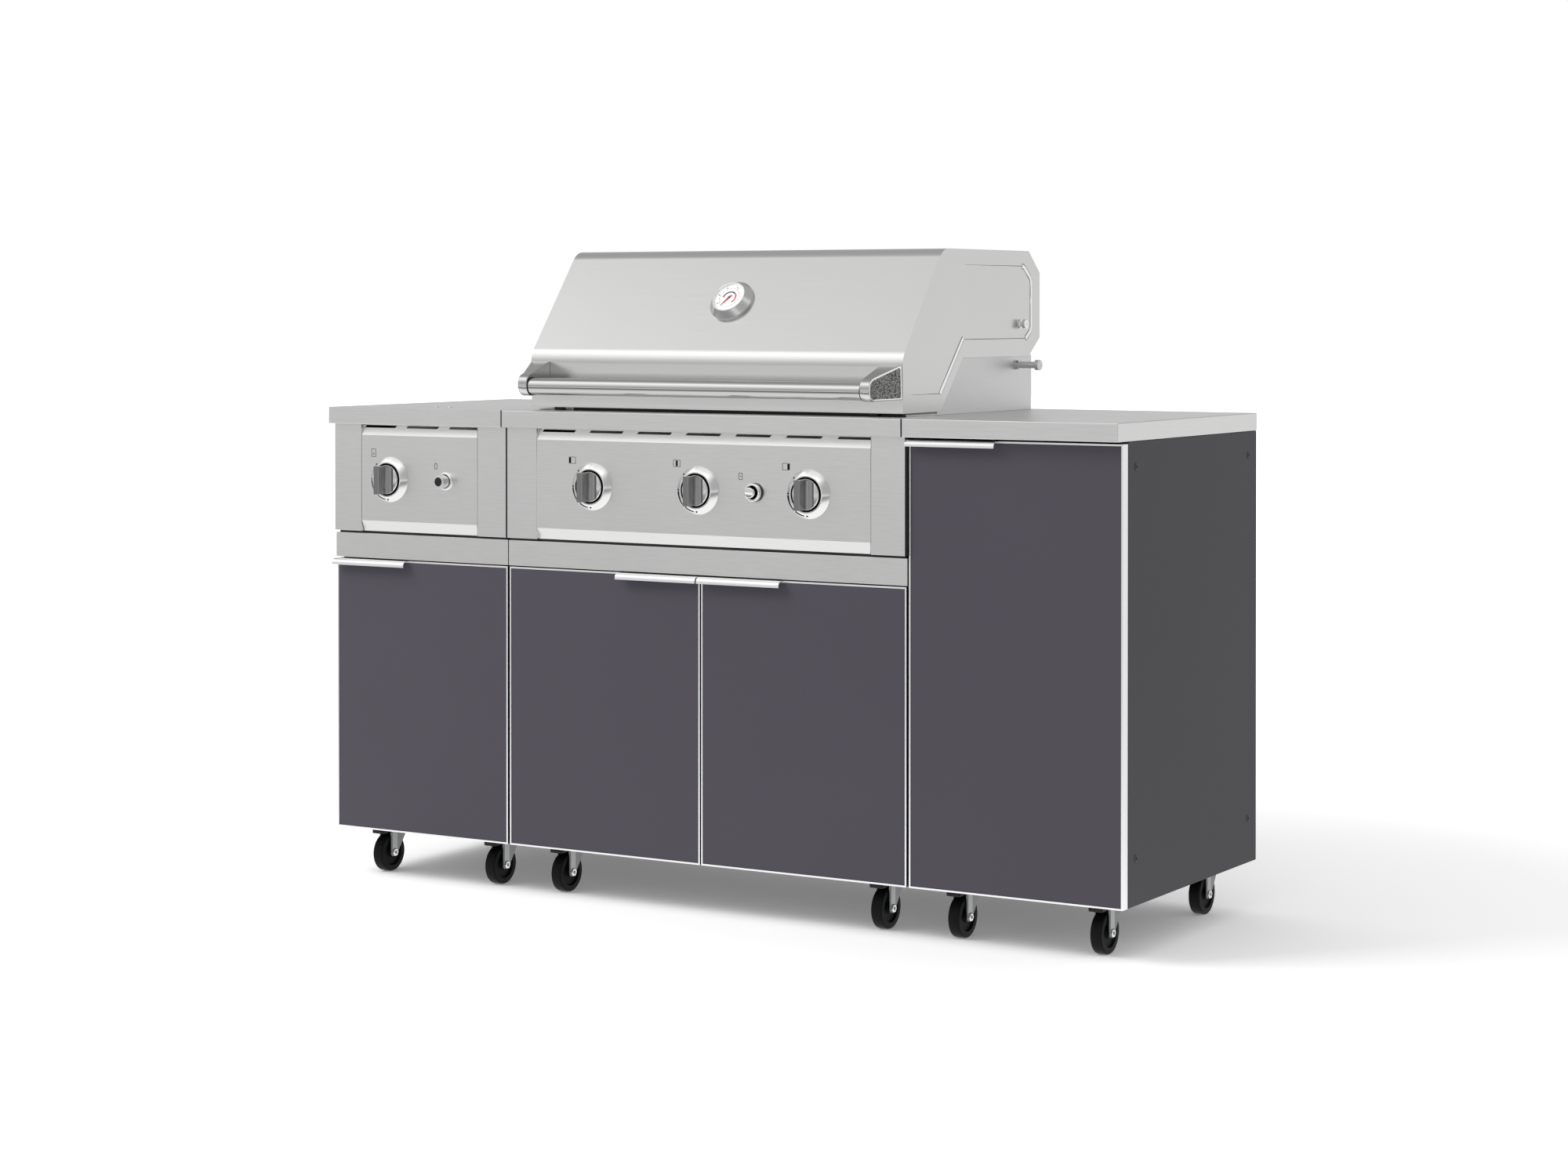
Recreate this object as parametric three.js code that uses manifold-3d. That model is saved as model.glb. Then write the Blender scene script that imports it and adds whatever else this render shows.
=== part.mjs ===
// Outdoor kitchen island: a side burner, a gas grill under a hinged hood, and a storage cabinet, on casters.
// Millimetres, +Z up, the front towards -Y. Every module is drawn with x from its left end, y from the
// front edge of the worktop and z from the floor.
import * as THREE from 'three';
import { mergeVertices } from 'three/addons/utils/BufferGeometryUtils.js';
import Module from 'manifold-3d';

const wasm = await Module();
wasm.setup();

// Driving sizes of the island
const sideModuleWidth = 420;
const grillModuleWidth = 870;
const islandDepth = 610;
const worktopHeight = 927;
const worktopThickness = 33;
const cabinetHeight = 95; // underside of the cabinets above the floor
const moduleSeam = 0.15; // each module stops this short of its neighbour

// Fits
const seat = 0.3; // gap between pieces that rest on each other
const running = 0.5; // gap round a shaft or a sliding piece
const overrun = 6; // how far a cutting tool passes its work
const weldDistance = 0.0005; // vertices closer than this are one

// Doors
const door = {
  front: 25, thickness: 21, edge: 2.5, frameWidth: 5, panelSetback: 0.8, backGap: 0.6, topGap: 2.5,
  tallTopGap: 4, pairGap: 3,
};
const pull = { length: 177, reach: 18, drop: 12, sheet: 1.8, bend: 9, root: 4 };

// Cabinets
const carcass = { side: 18, floor: 18, back: 12, shelf: 12, shelfHeight: 500, shelfSetback: 20 };
const vent = { count: 5, length: 150, height: 6, pitch: 18, top: 120 };

// Rails and control panels
const rail = { front: 24, height: 48.5, sheet: 2, gapAbove: 4.5 };
const panel = { front: 18, height: 211, sheet: 2, bevelHeight: 21.5, bevelDepth: 8 };
const sideColumn = 69;
const grillColumn = 71;
const slot = { height: 4.5, drop: 2, gap: 24, margin: 5 };

// Knobs and igniters
const knob = {
  drop: 107.5, pitch: 236, radius: 29.5, bevel: 1.5, depth: 12.5, back: 1.5, spindle: 5,
  grip: 12.4, gripHalfLength: 27.5, gripFront: 44, cove: 11,
};
const sideKnobOffset = -71; // from the middle of the side module
const sideIgniterOffset = 65.5;
const grillIgniterOffset = 122; // from the middle of the grill module
const bezel = { radius: 45, gap: 1.8, rim: 0.6, proud: 11, land: 2.5, root: 0.6 };
const igniter = { housing: 15, housingDepth: 26, wall: 2, travel: 5, tail: 14, chamfer: 2 };
const sideIgniter = { radius: 12.2, proud: 24.4, collar: 17.6, collarProud: 4.5, gap: 1 };
const grillIgniter = { radius: 10.2, proud: 21.8, collar: 16.6, collarProud: 11.7, gap: 2.7 };
const holeClearance = 2; // round a knob's spindle

// Hood
const hood = {
  sideInset: 29, frontInset: 61, rearInset: 3, sheet: 2.5, lift: 6, height: 304, frontWall: 105,
  frontLean: 2, slopeRun: 152, frontBend: 45, topBend: 18, rearChamferRun: 47, rearChamferDrop: 41,
  rearWall: 125, tailRun: 46, plateEdge: 103, cutRun: 86, cutStart: 142,
};
const emboss = { proud: 1.2, top: 30, rear: 37, corner: 34, cornerDrop: 26, side: 92, lower: 33, front: 190, foot: 32 };
const bumper = { width: 16, depth: 14, inset: 10 };
const pivot = { fromRear: 100.2, aboveWorktop: 86.4 };
const upperBolt = { offset: -3.3, rise: 77.7, boss: 7, shank: 4.5, head: 9, headLength: 7, reach: 17.5 };
const longBolt = { radius: 6, head: 9.5, headLength: 12, reach: 53, inside: 4 };
const arm = { thickness: 3, halfWidth: 15, gap: 1.7, above: 14 };
const handle = { radius: 16, wall: 18, axisInset: -1, height: 47, endInset: 27, noseWidth: 20 };
const bracket = { foot: 31, head: 94, rootWidth: 43, flare: 26 };
const gauge = {
  radius: 44, rim: 7, height: 14.5, dial: 32, lip: 2.5, dialDepth: 5, stem: 4, probe: 55,
  riseShare: 0.505,
};

// Firebox and what it holds
const firebox = {
  sideInset: 60, frontInset: 92, rearInset: 51, wall: 3, depth: 221, knee: 167, drainRun: 51, rim: 2,
  cutGap: 3, rimFront: 12, ledge: 8,
};
const cheek = { gap: 0.8, thickness: 2.5, rearInset: 33, height: 118, lap: 12, cornerRun: 15, cornerDrop: 15 };
const drain = { width: 60, depth: 30 };
const runner = { drop: 51, lip: 15, thickness: 3 };
const tray = { height: 30, wall: 2.5, front: 14, lipHeight: 3, tabWidth: 160, tabReach: 10, tabThickness: 3 };
const grate = { bars: 27, bar: 8, height: 10, frame: 12, top: 22 };
const tamer = { width: 90, rise: 34, sheet: 2, below: 88, tie: 12 };
const manifold = { pipe: 9, inset: 64, overhang: 40, valve: 26, valveDepth: 24, burner: 14, burnerGap: 16 };

// Side burner
const lid = {
  width: 300, frontInset: 85, rearInset: 105, thickness: 12, gap: 1.5, studs: 33, studInset: 12,
};
const stud = { radius: 4, height: 2 };
const pan = { wall: 2.5, depth: 97, flange: 12, flangeThickness: 3 };
const sideBurner = { radius: 45, height: 23, cap: 34, pipe: 7, riser: 9 };
const potGrate = { span: 230, bar: 8, height: 10, top: 34, ring: 110 };

// Casters
const caster = {
  wheelDiameter: 75, wheelWidth: 22, trail: 22, frontSwivel: 130, rearSwivelInset: 60,
  plateLength: 70, plateWidth: 60, plateThickness: 3, cup: 17, crown: 3, leg: 2.5, legGap: 1.2,
  strip: 11, heel: 17, axle: 4.5, nut: 7, nutLength: 3.5, tread: 2.5, discSetback: 2, tyre: 10.5,
};
const casterInsets = { side: [65, 80], grill: [77, 90], storage: [67, 75] };
const pedal = { reach: 20, width: 20, thickness: 7, drop: 2 };

// Round pieces are drawn with this many sides
const sides = { fine: 20, coarse: 16, rough: 12, hex: 6 };
const bendSteps = 2; // half the chords in a bend

// Levels and places that follow from the sizes
const worktopBottom = worktopHeight - worktopThickness;
const panelTop = worktopBottom - seat;
const panelBottom = worktopBottom - panel.height;
const railTop = panelBottom - rail.gapAbove;
const railBottom = railTop - rail.height;
const doorBack = door.front + door.thickness;
const carcassFront = doorBack + door.backGap;
const knobHeight = worktopBottom - knob.drop;
const lowDoorTop = railBottom - door.topGap;
const tallDoorTop = worktopBottom - door.tallTopGap;
const hoodFront = hood.frontInset;
const hoodRear = islandDepth - hood.rearInset;
const pivotPoint = { y: islandDepth - pivot.fromRear, z: worktopHeight + pivot.aboveWorktop };
const fireboxRear = islandDepth - firebox.rearInset;
const fireboxBottom = worktopHeight - firebox.depth;
const rimTop = worktopHeight + seat + firebox.rim;
const valveFront = carcassFront + running + door.backGap;
const islandWidth = sideModuleWidth + grillModuleWidth + sideModuleWidth;
const handleFront = handle.axisInset - handle.wall;

// Finishes
const finish = (color, roughness, metalness) => new THREE.MeshStandardMaterial({
  color, roughness, metalness, flatShading: true,
});
const stainless = () => finish(0xc4c4c2, 0.32, 1);
const slate = () => finish(0x524f58, 0.5, 0.1);
const aluminium = () => finish(0xd4d5d4, 0.35, 1);
const castIron = () => finish(0x2b2b2c, 0.7, 0.3);
const chrome = () => finish(0xdededd, 0.12, 1);
const rubber = () => finish(0x161616, 0.75, 0);
const zinc = () => finish(0xb9bbbd, 0.3, 1);

// Turns a closed geometry into a solid, with its faces pointing out
function solidOf(geometry) {
  const bare = geometry.clone();
  bare.deleteAttribute('normal');
  bare.deleteAttribute('uv');
  const merged = mergeVertices(bare, weldDistance);
  const points = merged.attributes.position.array;
  const corner = (i) => new THREE.Vector3().fromArray(points, 3 * i);
  const triangles = [];
  let volume = 0;
  for (let i = 0; i < merged.index.count; i += 3) {
    const [a, b, c] = [0, 1, 2].map((k) => merged.index.getX(i + k));
    if (a === b || b === c || c === a) continue;
    triangles.push([a, b, c]);
    volume += corner(a).dot(corner(b).cross(corner(c)));
  }
  const outward = volume > 0 ? triangles : triangles.map(([a, b, c]) => [a, c, b]);
  return new wasm.Manifold(new wasm.Mesh({
    numProp: 3,
    vertProperties: Float32Array.from(points),
    triVerts: Uint32Array.from(outward.flat()),
  }));
}

function geometryOf(solid) {
  const { vertProperties, triVerts } = solid.getMesh();
  const geometry = new THREE.BufferGeometry();
  geometry.setAttribute('position', new THREE.BufferAttribute(Float32Array.from(vertProperties), 3));
  geometry.setIndex(new THREE.BufferAttribute(Uint32Array.from(triVerts), 1));
  geometry.computeVertexNormals();
  return geometry;
}

const joined = (first, ...others) => others.reduce((sum, next) => sum.add(next), first);
const cut = (body, ...tools) => tools.reduce((rest, tool) => rest.subtract(tool), body);

// A block between pairs of limits along x, y and z
function block(x, y, z) {
  const geometry = new THREE.BoxGeometry(x[1] - x[0], y[1] - y[0], z[1] - z[0]);
  geometry.translate((x[0] + x[1]) / 2, (y[0] + y[1]) / 2, (z[0] + z[1]) / 2);
  return solidOf(geometry);
}

const about = (centre, reach) => [centre - reach, centre + reach];

// An outline whose corners [u, v, radius] may be rounded by true arcs
function outline(corners) {
  const shape = new THREE.Shape();
  const at = (i) => new THREE.Vector2(...corners[(i + corners.length) % corners.length]);
  corners.forEach(([, , radius = 0], i) => {
    const here = at(i);
    const back = at(i - 1).sub(here).normalize();
    const ahead = at(i + 1).sub(here).normalize();
    const half = Math.acos(back.dot(ahead)) / 2;
    const start = here.clone().addScaledVector(back, radius / Math.tan(half));
    if (i === 0) shape.moveTo(start.x, start.y);
    else shape.lineTo(start.x, start.y);
    if (!radius) return;
    const end = here.clone().addScaledVector(ahead, radius / Math.tan(half));
    const centre = here.clone().addScaledVector(back.clone().add(ahead).normalize(), radius / Math.sin(half));
    const from = Math.atan2(start.y - centre.y, start.x - centre.x);
    const to = Math.atan2(end.y - centre.y, end.x - centre.x);
    shape.absarc(centre.x, centre.y, radius, from, to, back.cross(ahead) > 0);
  });
  return shape;
}

// Drawing planes: the outline's own axes and the direction of its extrusion, as world axes
const axis = { x: new THREE.Vector3(1, 0, 0), y: new THREE.Vector3(0, 1, 0), z: new THREE.Vector3(0, 0, 1) };
const yzToX = new THREE.Matrix4().makeBasis(axis.y, axis.z, axis.x);
const xzToFront = new THREE.Matrix4().makeBasis(axis.x, axis.z, axis.y.clone().negate());

function extruded(shape, depth) {
  return new THREE.ExtrudeGeometry(shape, { depth, bevelEnabled: false, curveSegments: bendSteps });
}

// A side view in y and z, carried along x
function acrossX(shape, [from, to]) {
  const geometry = extruded(shape, to - from).applyMatrix4(yzToX);
  return solidOf(geometry.translate(from, 0, 0));
}

// A front view in x and z, carried along y
function acrossY(shape, [from, to]) {
  const geometry = extruded(shape, to - from).applyMatrix4(xzToFront);
  return solidOf(geometry.translate(0, to, 0));
}

// A plan view in x and y, carried along z
function acrossZ(shape, [from, to]) {
  return solidOf(extruded(shape, to - from).translate(0, 0, from));
}

// A round bar along one axis, between two places on it, about the other two coordinates
function bar(along, [from, to], radius, centre, count = sides.rough) {
  const geometry = new THREE.CylinderGeometry(radius, radius, to - from, count);
  if (along === 'x') geometry.rotateZ(-Math.PI / 2);
  if (along === 'z') geometry.rotateX(Math.PI / 2);
  const place = { ...centre, [along]: (from + to) / 2 };
  return solidOf(geometry.translate(place.x ?? 0, place.y ?? 0, place.z ?? 0));
}

// A turned piece: its profile lists [radius, place along the axis], and the axis is y
function turned(profile, count = sides.coarse, start = 0) {
  const points = profile.map(([radius, along]) => new THREE.Vector2(radius, along));
  return solidOf(new THREE.LatheGeometry(points, count, start));
}

const closed = (profile) => [...profile, profile[0]];

const island = new THREE.Group();
island.position.set(-islandWidth / 2, -(handleFront + islandDepth) / 2, 0);

function groupAt(parent, x, y = 0, z = 0) {
  const group = new THREE.Group();
  group.position.set(x, y, z);
  parent.add(group);
  return group;
}

function piece(parent, name, solid, material) {
  const mesh = new THREE.Mesh(geometryOf(solid), material);
  mesh.name = name;
  parent.add(mesh);
  return mesh;
}

const sideModule = { name: 'side', width: sideModuleWidth, group: groupAt(island, 0) };
const grillModule = { name: 'grill', width: grillModuleWidth, group: groupAt(island, sideModuleWidth) };
const storageModule = {
  name: 'storage', width: sideModuleWidth, group: groupAt(island, sideModuleWidth + grillModuleWidth),
};

// Cabinets: sides, floor and back in one welded case, with caster plates under the floor
function casterPlaces(module) {
  const [left, right] = casterInsets[module.name];
  const xs = [left, module.width - right];
  const ys = [caster.frontSwivel, islandDepth - caster.rearSwivelInset];
  return ys.flatMap((y) => xs.map((x) => ({ x, y, front: y === ys[0] })));
}

function cabinetCase(module) {
  const x = [moduleSeam, module.width - moduleSeam];
  const shell = block(x, [carcassFront, islandDepth], [cabinetHeight, worktopBottom - seat]);
  const hollow = block(
    [x[0] + carcass.side, x[1] - carcass.side],
    [carcassFront - overrun, islandDepth - carcass.back],
    [cabinetHeight + carcass.floor, worktopBottom + overrun],
  );
  const plates = casterPlaces(module).map((place) => block(
    about(place.x, caster.plateWidth / 2),
    about(place.y, caster.plateLength / 2),
    [cabinetHeight - caster.plateThickness, cabinetHeight + caster.plateThickness],
  ));
  return joined(cut(shell, hollow), ...plates);
}

function ventSlots(centre, top) {
  return Array.from({ length: vent.count }, (_, i) => block(
    about(centre, vent.length / 2),
    [islandDepth - carcass.back - overrun, islandDepth + overrun],
    [top - i * vent.pitch - vent.height, top - i * vent.pitch],
  ));
}

const ventTop = worktopBottom - vent.top;
piece(
  sideModule.group,
  'side_burner_cabinet',
  cut(cabinetCase(sideModule), ...ventSlots(sideModule.width / 2, ventTop)),
  slate(),
);

const storageShelf = block(
  [carcass.side / 2, storageModule.width - carcass.side / 2],
  [carcassFront + carcass.shelfSetback, islandDepth - carcass.back / 2],
  [carcass.shelfHeight, carcass.shelfHeight + carcass.shelf],
);
piece(
  storageModule.group,
  'storage_cabinet',
  cut(joined(cabinetCase(storageModule), storageShelf), ...ventSlots(storageModule.width / 2, ventTop)),
  slate(),
);

// The grill cabinet's back has the way out for the grease tray, with vent slots below it
const fireboxX = [firebox.sideInset, grillModule.width - firebox.sideInset];
const runnerBottom = fireboxBottom - runner.drop;
const trayBottom = runnerBottom + runner.thickness + seat;
const trayX = [fireboxX[0] + firebox.wall + running, fireboxX[1] - firebox.wall - running];
const trayDoorway = block(
  [trayX[0] - running, trayX[1] + running],
  [islandDepth - carcass.back - overrun, islandDepth + overrun],
  [trayBottom - running, trayBottom + tray.height + running],
);
const lowVentTop = trayBottom - vent.pitch * 2;
piece(
  grillModule.group,
  'grill_cabinet',
  cut(
    cabinetCase(grillModule),
    trayDoorway,
    ...ventSlots(grillModule.width / 4, lowVentTop),
    ...ventSlots(grillModule.width * 3 / 4, lowVentTop),
  ),
  slate(),
);

// Worktops: slabs flush with the sides and the back, with cut-outs for the grill and the side burner
function worktop(module) {
  return block([moduleSeam, module.width - moduleSeam], [0, islandDepth], [worktopBottom, worktopHeight]);
}

const through = [worktopBottom - overrun, worktopHeight + overrun];
const lidX = about(sideModule.width / 2, lid.width / 2);
const lidY = [lid.frontInset, islandDepth - lid.rearInset];
const lidHole = {
  x: [lidX[0] - lid.gap, lidX[1] + lid.gap],
  y: [lidY[0] - lid.gap, lidY[1] + lid.gap],
};
const fireboxHole = block(
  [fireboxX[0] - firebox.cutGap, fireboxX[1] + firebox.cutGap],
  [firebox.frontInset - firebox.cutGap, fireboxRear + firebox.cutGap],
  through,
);
piece(
  sideModule.group,
  'side_burner_worktop',
  cut(worktop(sideModule), block(lidHole.x, lidHole.y, through)),
  stainless(),
);
piece(grillModule.group, 'grill_worktop', cut(worktop(grillModule), fireboxHole), stainless());
piece(storageModule.group, 'storage_worktop', worktop(storageModule), stainless());

// Rails between the doors and the control panels: a folded channel, open at the back
function railChannel(module) {
  const x = [moduleSeam, module.width - moduleSeam];
  const y = [rail.front, carcassFront - seat];
  const inside = block(
    [x[0] + rail.sheet, x[1] - rail.sheet],
    [rail.front + rail.sheet, carcassFront + overrun],
    [railBottom + rail.sheet, railTop - rail.sheet],
  );
  return cut(block(x, y, [railBottom, railTop]), inside);
}

piece(sideModule.group, 'side_burner_rail', railChannel(sideModule), stainless());
piece(grillModule.group, 'grill_rail', railChannel(grillModule), stainless());

// Control panels: a folded front whose middle face bends back along its top and bottom edges
function bevelLine(edge, inward) {
  const face = edge + inward * panel.bevelHeight;
  return { edge, face };
}

const topBevel = bevelLine(panelTop, -1);
const bottomBevel = bevelLine(panelBottom, 1);

function bevelTool(bevel) {
  const past = bevel.edge + Math.sign(bevel.edge - bevel.face) * overrun;
  const slope = panel.bevelDepth / (bevel.edge - bevel.face);
  return outline([
    [panel.front, bevel.face],
    [panel.front - overrun, bevel.face],
    [panel.front - overrun, past],
    [panel.front + slope * (past - bevel.face), past],
  ]);
}

function bevelSheet(bevel) {
  return outline([
    [panel.front, bevel.face],
    [panel.front + panel.bevelDepth, bevel.edge],
    [panel.front + panel.bevelDepth + panel.sheet, bevel.edge],
    [panel.front + panel.sheet, bevel.face],
  ]);
}

function bevelEnd(bevel) {
  return outline([
    [panel.front, bevel.face],
    [panel.front, bevel.edge],
    [panel.front + panel.bevelDepth + panel.sheet, bevel.edge],
    [panel.front + panel.sheet, bevel.face],
  ]);
}

function ventRow(module, column, count) {
  const first = column + slot.margin;
  const pitch = (module.width - first * 2 + slot.gap) / count;
  const top = panelTop - slot.drop;
  return Array.from({ length: count }, (_, i) => block(
    [first + i * pitch, first + (i + 1) * pitch - slot.gap],
    [panel.front - overrun, panel.front + panel.bevelDepth + panel.sheet + overrun],
    [top - slot.height, top],
  ));
}

function panelShell(module, column) {
  const x = [moduleSeam, module.width - moduleSeam];
  const faceX = [column, module.width - column];
  const shell = cut(
    block(x, [panel.front, carcassFront - seat], [panelBottom, panelTop]),
    block(
      [x[0] + panel.sheet, x[1] - panel.sheet],
      [panel.front + panel.sheet, carcassFront + overrun],
      [panelBottom + panel.sheet, panelTop - panel.sheet],
    ),
  );
  const bevels = [topBevel, bottomBevel];
  const ends = bevels.flatMap((bevel) => [
    acrossX(bevelEnd(bevel), [faceX[0] - panel.sheet, faceX[0]]),
    acrossX(bevelEnd(bevel), [faceX[1], faceX[1] + panel.sheet]),
  ]);
  const bent = bevels.map((bevel) => acrossX(bevelSheet(bevel), faceX));
  const tools = bevels.map((bevel) => acrossX(bevelTool(bevel), faceX));
  return joined(cut(shell, ...tools), ...bent, ...ends);
}

function bezelRing(x) {
  const inner = knob.radius + bezel.gap;
  const ring = turned(closed([
    [inner, bezel.root],
    [bezel.radius, bezel.root],
    [bezel.radius, -bezel.rim],
    [inner + bezel.land, -bezel.proud],
    [inner, -bezel.proud],
  ]), sides.fine);
  return ring.translate([x, panel.front, knobHeight]);
}

function igniterHousing(x, size) {
  const mouth = size.radius + size.gap;
  const bore = size.radius + running;
  const housing = turned([
    [0, igniter.housingDepth],
    [igniter.housing, igniter.housingDepth],
    [igniter.housing, panel.sheet / 2],
    [size.collar, panel.sheet / 2],
    [size.collar, igniter.chamfer - size.collarProud],
    [size.collar - igniter.chamfer, -size.collarProud],
    [mouth, -size.collarProud],
    [mouth, panel.sheet / 2],
    [bore, panel.sheet / 2],
    [bore, igniter.housingDepth - igniter.wall],
    [0, igniter.housingDepth - igniter.wall],
  ]);
  return housing.translate([x, panel.front, knobHeight]);
}

function frontHole(x, radius) {
  const y = [panel.front - overrun, panel.front + panel.sheet + overrun];
  return bar('y', y, radius, { x, z: knobHeight });
}

const sideMiddle = sideModule.width / 2;
const grillMiddle = grillModule.width / 2;
const sideKnobX = sideMiddle + sideKnobOffset;
const sideIgniterX = sideMiddle + sideIgniterOffset;
const grillKnobXs = [-1, 0, 1].map((i) => grillMiddle + i * knob.pitch);
const grillIgniterX = grillMiddle + grillIgniterOffset;
const spindleHole = knob.spindle + holeClearance;

piece(
  sideModule.group,
  'side_burner_control_panel',
  joined(
    cut(
      panelShell(sideModule, sideColumn),
      ...ventRow(sideModule, sideColumn, 3),
      frontHole(sideKnobX, spindleHole),
      frontHole(sideIgniterX, igniter.housing - running),
    ),
    bezelRing(sideKnobX),
    igniterHousing(sideIgniterX, sideIgniter),
  ),
  stainless(),
);
piece(
  grillModule.group,
  'grill_control_panel',
  joined(
    cut(
      panelShell(grillModule, grillColumn),
      ...ventRow(grillModule, grillColumn, 7),
      ...grillKnobXs.map((x) => frontHole(x, spindleHole)),
      frontHole(grillIgniterX, igniter.housing - running),
    ),
    ...grillKnobXs.map(bezelRing),
    igniterHousing(grillIgniterX, grillIgniter),
  ),
  stainless(),
);

// Knobs: a turned cap with a raised grip across it, on a spindle that reaches the valve
function knobSolid() {
  const front = -knob.back - knob.depth;
  const cap = turned([
    [0, -knob.back],
    [knob.radius, -knob.back],
    [knob.radius, front + knob.bevel],
    [knob.radius - knob.bevel, front],
    [0, front],
  ], sides.fine);
  const half = knob.grip / 2;
  const foot = half + knob.cove;
  const gripShape = outline([
    [-foot - knob.bevel, front + knob.bevel],
    [foot + knob.bevel, front + knob.bevel],
    [foot + knob.bevel, front],
    [half, front, knob.cove],
    [half, -knob.gripFront, knob.bevel],
    [-half, -knob.gripFront, knob.bevel],
    [-half, front, knob.cove],
    [-foot - knob.bevel, front],
  ]);
  const grip = acrossZ(gripShape, about(0, knob.radius))
    .intersect(bar('y', [-knob.gripFront - overrun, 0], knob.gripHalfLength, {}, sides.fine));
  const spindle = bar('y', [-knob.back - knob.bevel, valveFront - seat - panel.front], knob.spindle, {});
  return joined(cap, grip, spindle);
}

function buttonSolid(size) {
  const front = -size.proud;
  return turned([
    [0, igniter.tail],
    [size.radius, igniter.tail],
    [size.radius, front + igniter.wall],
    [size.radius - igniter.wall, front],
    [0, front],
  ]);
}

piece(groupAt(sideModule.group, sideKnobX, panel.front, knobHeight), 'side_burner_knob', knobSolid(), chrome());
const knobNames = ['left_burner_knob', 'middle_burner_knob', 'right_burner_knob'];
grillKnobXs.forEach((x, i) => {
  piece(groupAt(grillModule.group, x, panel.front, knobHeight), knobNames[i], knobSolid(), chrome());
});
const sideIgniterPlace = groupAt(sideModule.group, sideIgniterX, panel.front, knobHeight);
piece(sideIgniterPlace, 'side_burner_igniter', buttonSolid(sideIgniter), chrome());
const grillIgniterPlace = groupAt(grillModule.group, grillIgniterX, panel.front, knobHeight);
piece(grillIgniterPlace, 'grill_igniter', buttonSolid(grillIgniter), chrome());

// Doors: a slate panel in an aluminium edge frame with the edge pull on its top
function doorFrame(width, height, pullX) {
  const y = [0, door.thickness];
  const ring = cut(
    block([0, width], y, [0, height]),
    block(
      [door.frameWidth, width - door.frameWidth],
      [-overrun, door.thickness + overrun],
      [door.frameWidth, height - door.frameWidth],
    ),
  );
  const lip = outline([
    [pull.root, height],
    [-pull.reach, height, pull.bend],
    [-pull.reach, height - pull.drop],
    [-pull.reach + pull.sheet, height - pull.drop],
    [-pull.reach + pull.sheet, height - pull.sheet, pull.bend - pull.sheet],
    [pull.root, height - pull.sheet],
  ]);
  return joined(ring, acrossX(lip, pullX));
}

function doorPanel(width, height) {
  const inset = door.frameWidth + seat;
  return block(
    [inset, width - inset],
    [door.panelSetback, door.thickness - door.panelSetback],
    [inset, height - inset],
  );
}

function addDoor(name, module, [left, right], top, pullOnLeft) {
  const width = right - left;
  const height = top - cabinetHeight;
  const group = groupAt(module.group, left, door.front, cabinetHeight);
  const pullX = pullOnLeft ? [0, pull.length] : [width - pull.length, width];
  piece(group, `${name}_frame`, doorFrame(width, height, pullX), aluminium());
  piece(group, `${name}_panel`, doorPanel(width, height), slate());
}

const doorX = (module) => [door.edge, module.width - door.edge];
const pairSplit = about(grillMiddle, door.pairGap / 2);
addDoor('side_burner_door', sideModule, doorX(sideModule), lowDoorTop, true);
addDoor('left_grill_door', grillModule, [door.edge, pairSplit[0]], lowDoorTop, false);
addDoor('right_grill_door', grillModule, [pairSplit[1], grillModule.width - door.edge], lowDoorTop, true);
addDoor('storage_door', storageModule, doorX(storageModule), tallDoorTop, true);

// Hood: one bent sheet closed by two side plates, with hinge arms inside them
const hoodX = [hood.sideInset, grillModule.width - hood.sideInset];
const hoodBottom = worktopHeight + hood.lift;
const hoodTop = worktopHeight + hood.height;
const bendHeight = worktopHeight + hood.frontWall;
const chamferTop = { y: hoodRear - hood.rearChamferRun, z: hoodTop };
const chamferBottom = { y: hoodRear, z: hoodTop - hood.rearChamferDrop };
const rearLip = { y: hoodRear, z: chamferBottom.z - hood.rearWall };
const plateEdge = worktopHeight + hood.plateEdge;
const cutBottom = { y: hoodFront + hood.cutStart, z: hoodBottom };
const cutTop = { y: cutBottom.y + hood.cutRun, z: plateEdge };

// The hood's side outline, or the inside of its sheet when inset is the sheet's thickness
function hoodSide(inset, tail) {
  const lean = hood.frontLean;
  return outline([
    [hoodFront + inset, hoodBottom - (inset ? overrun : 0)],
    ...tail,
    [rearLip.y - inset, chamferBottom.z - inset / 2],
    [chamferTop.y - inset / 2, hoodTop - inset],
    [hoodFront + hood.slopeRun + inset / 2, hoodTop - inset, hood.topBend - inset],
    [hoodFront - lean + inset, bendHeight - inset / 2, hood.frontBend - inset],
  ]);
}

const plateTail = [
  [cutBottom.y, cutBottom.z],
  [cutTop.y, cutTop.z],
  [rearLip.y - hood.tailRun, plateEdge],
  [rearLip.y, rearLip.z],
];
const openTail = [[rearLip.y - hood.sheet, hoodBottom - overrun]];
const hoodOuter = acrossX(hoodSide(0, plateTail), hoodX);
const hoodInner = acrossX(hoodSide(hood.sheet, openTail), [hoodX[0] + hood.sheet, hoodX[1] - hood.sheet]);
const embossCorners = [
  [emboss.front, hoodTop - emboss.top],
  [hoodRear - emboss.rear - emboss.corner, hoodTop - emboss.top],
  [hoodRear - emboss.rear, hoodTop - emboss.top - emboss.cornerDrop],
  [hoodRear - emboss.rear, hoodTop - emboss.top - emboss.cornerDrop - emboss.side],
  [hoodRear - emboss.rear - emboss.corner + overrun, plateEdge + emboss.lower],
  [cutTop.y, plateEdge + emboss.lower],
  [cutBottom.y, hoodBottom + emboss.foot],
  [hoodFront + emboss.foot, hoodBottom + emboss.foot],
  [hoodFront + emboss.foot, bendHeight],
];

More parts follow.
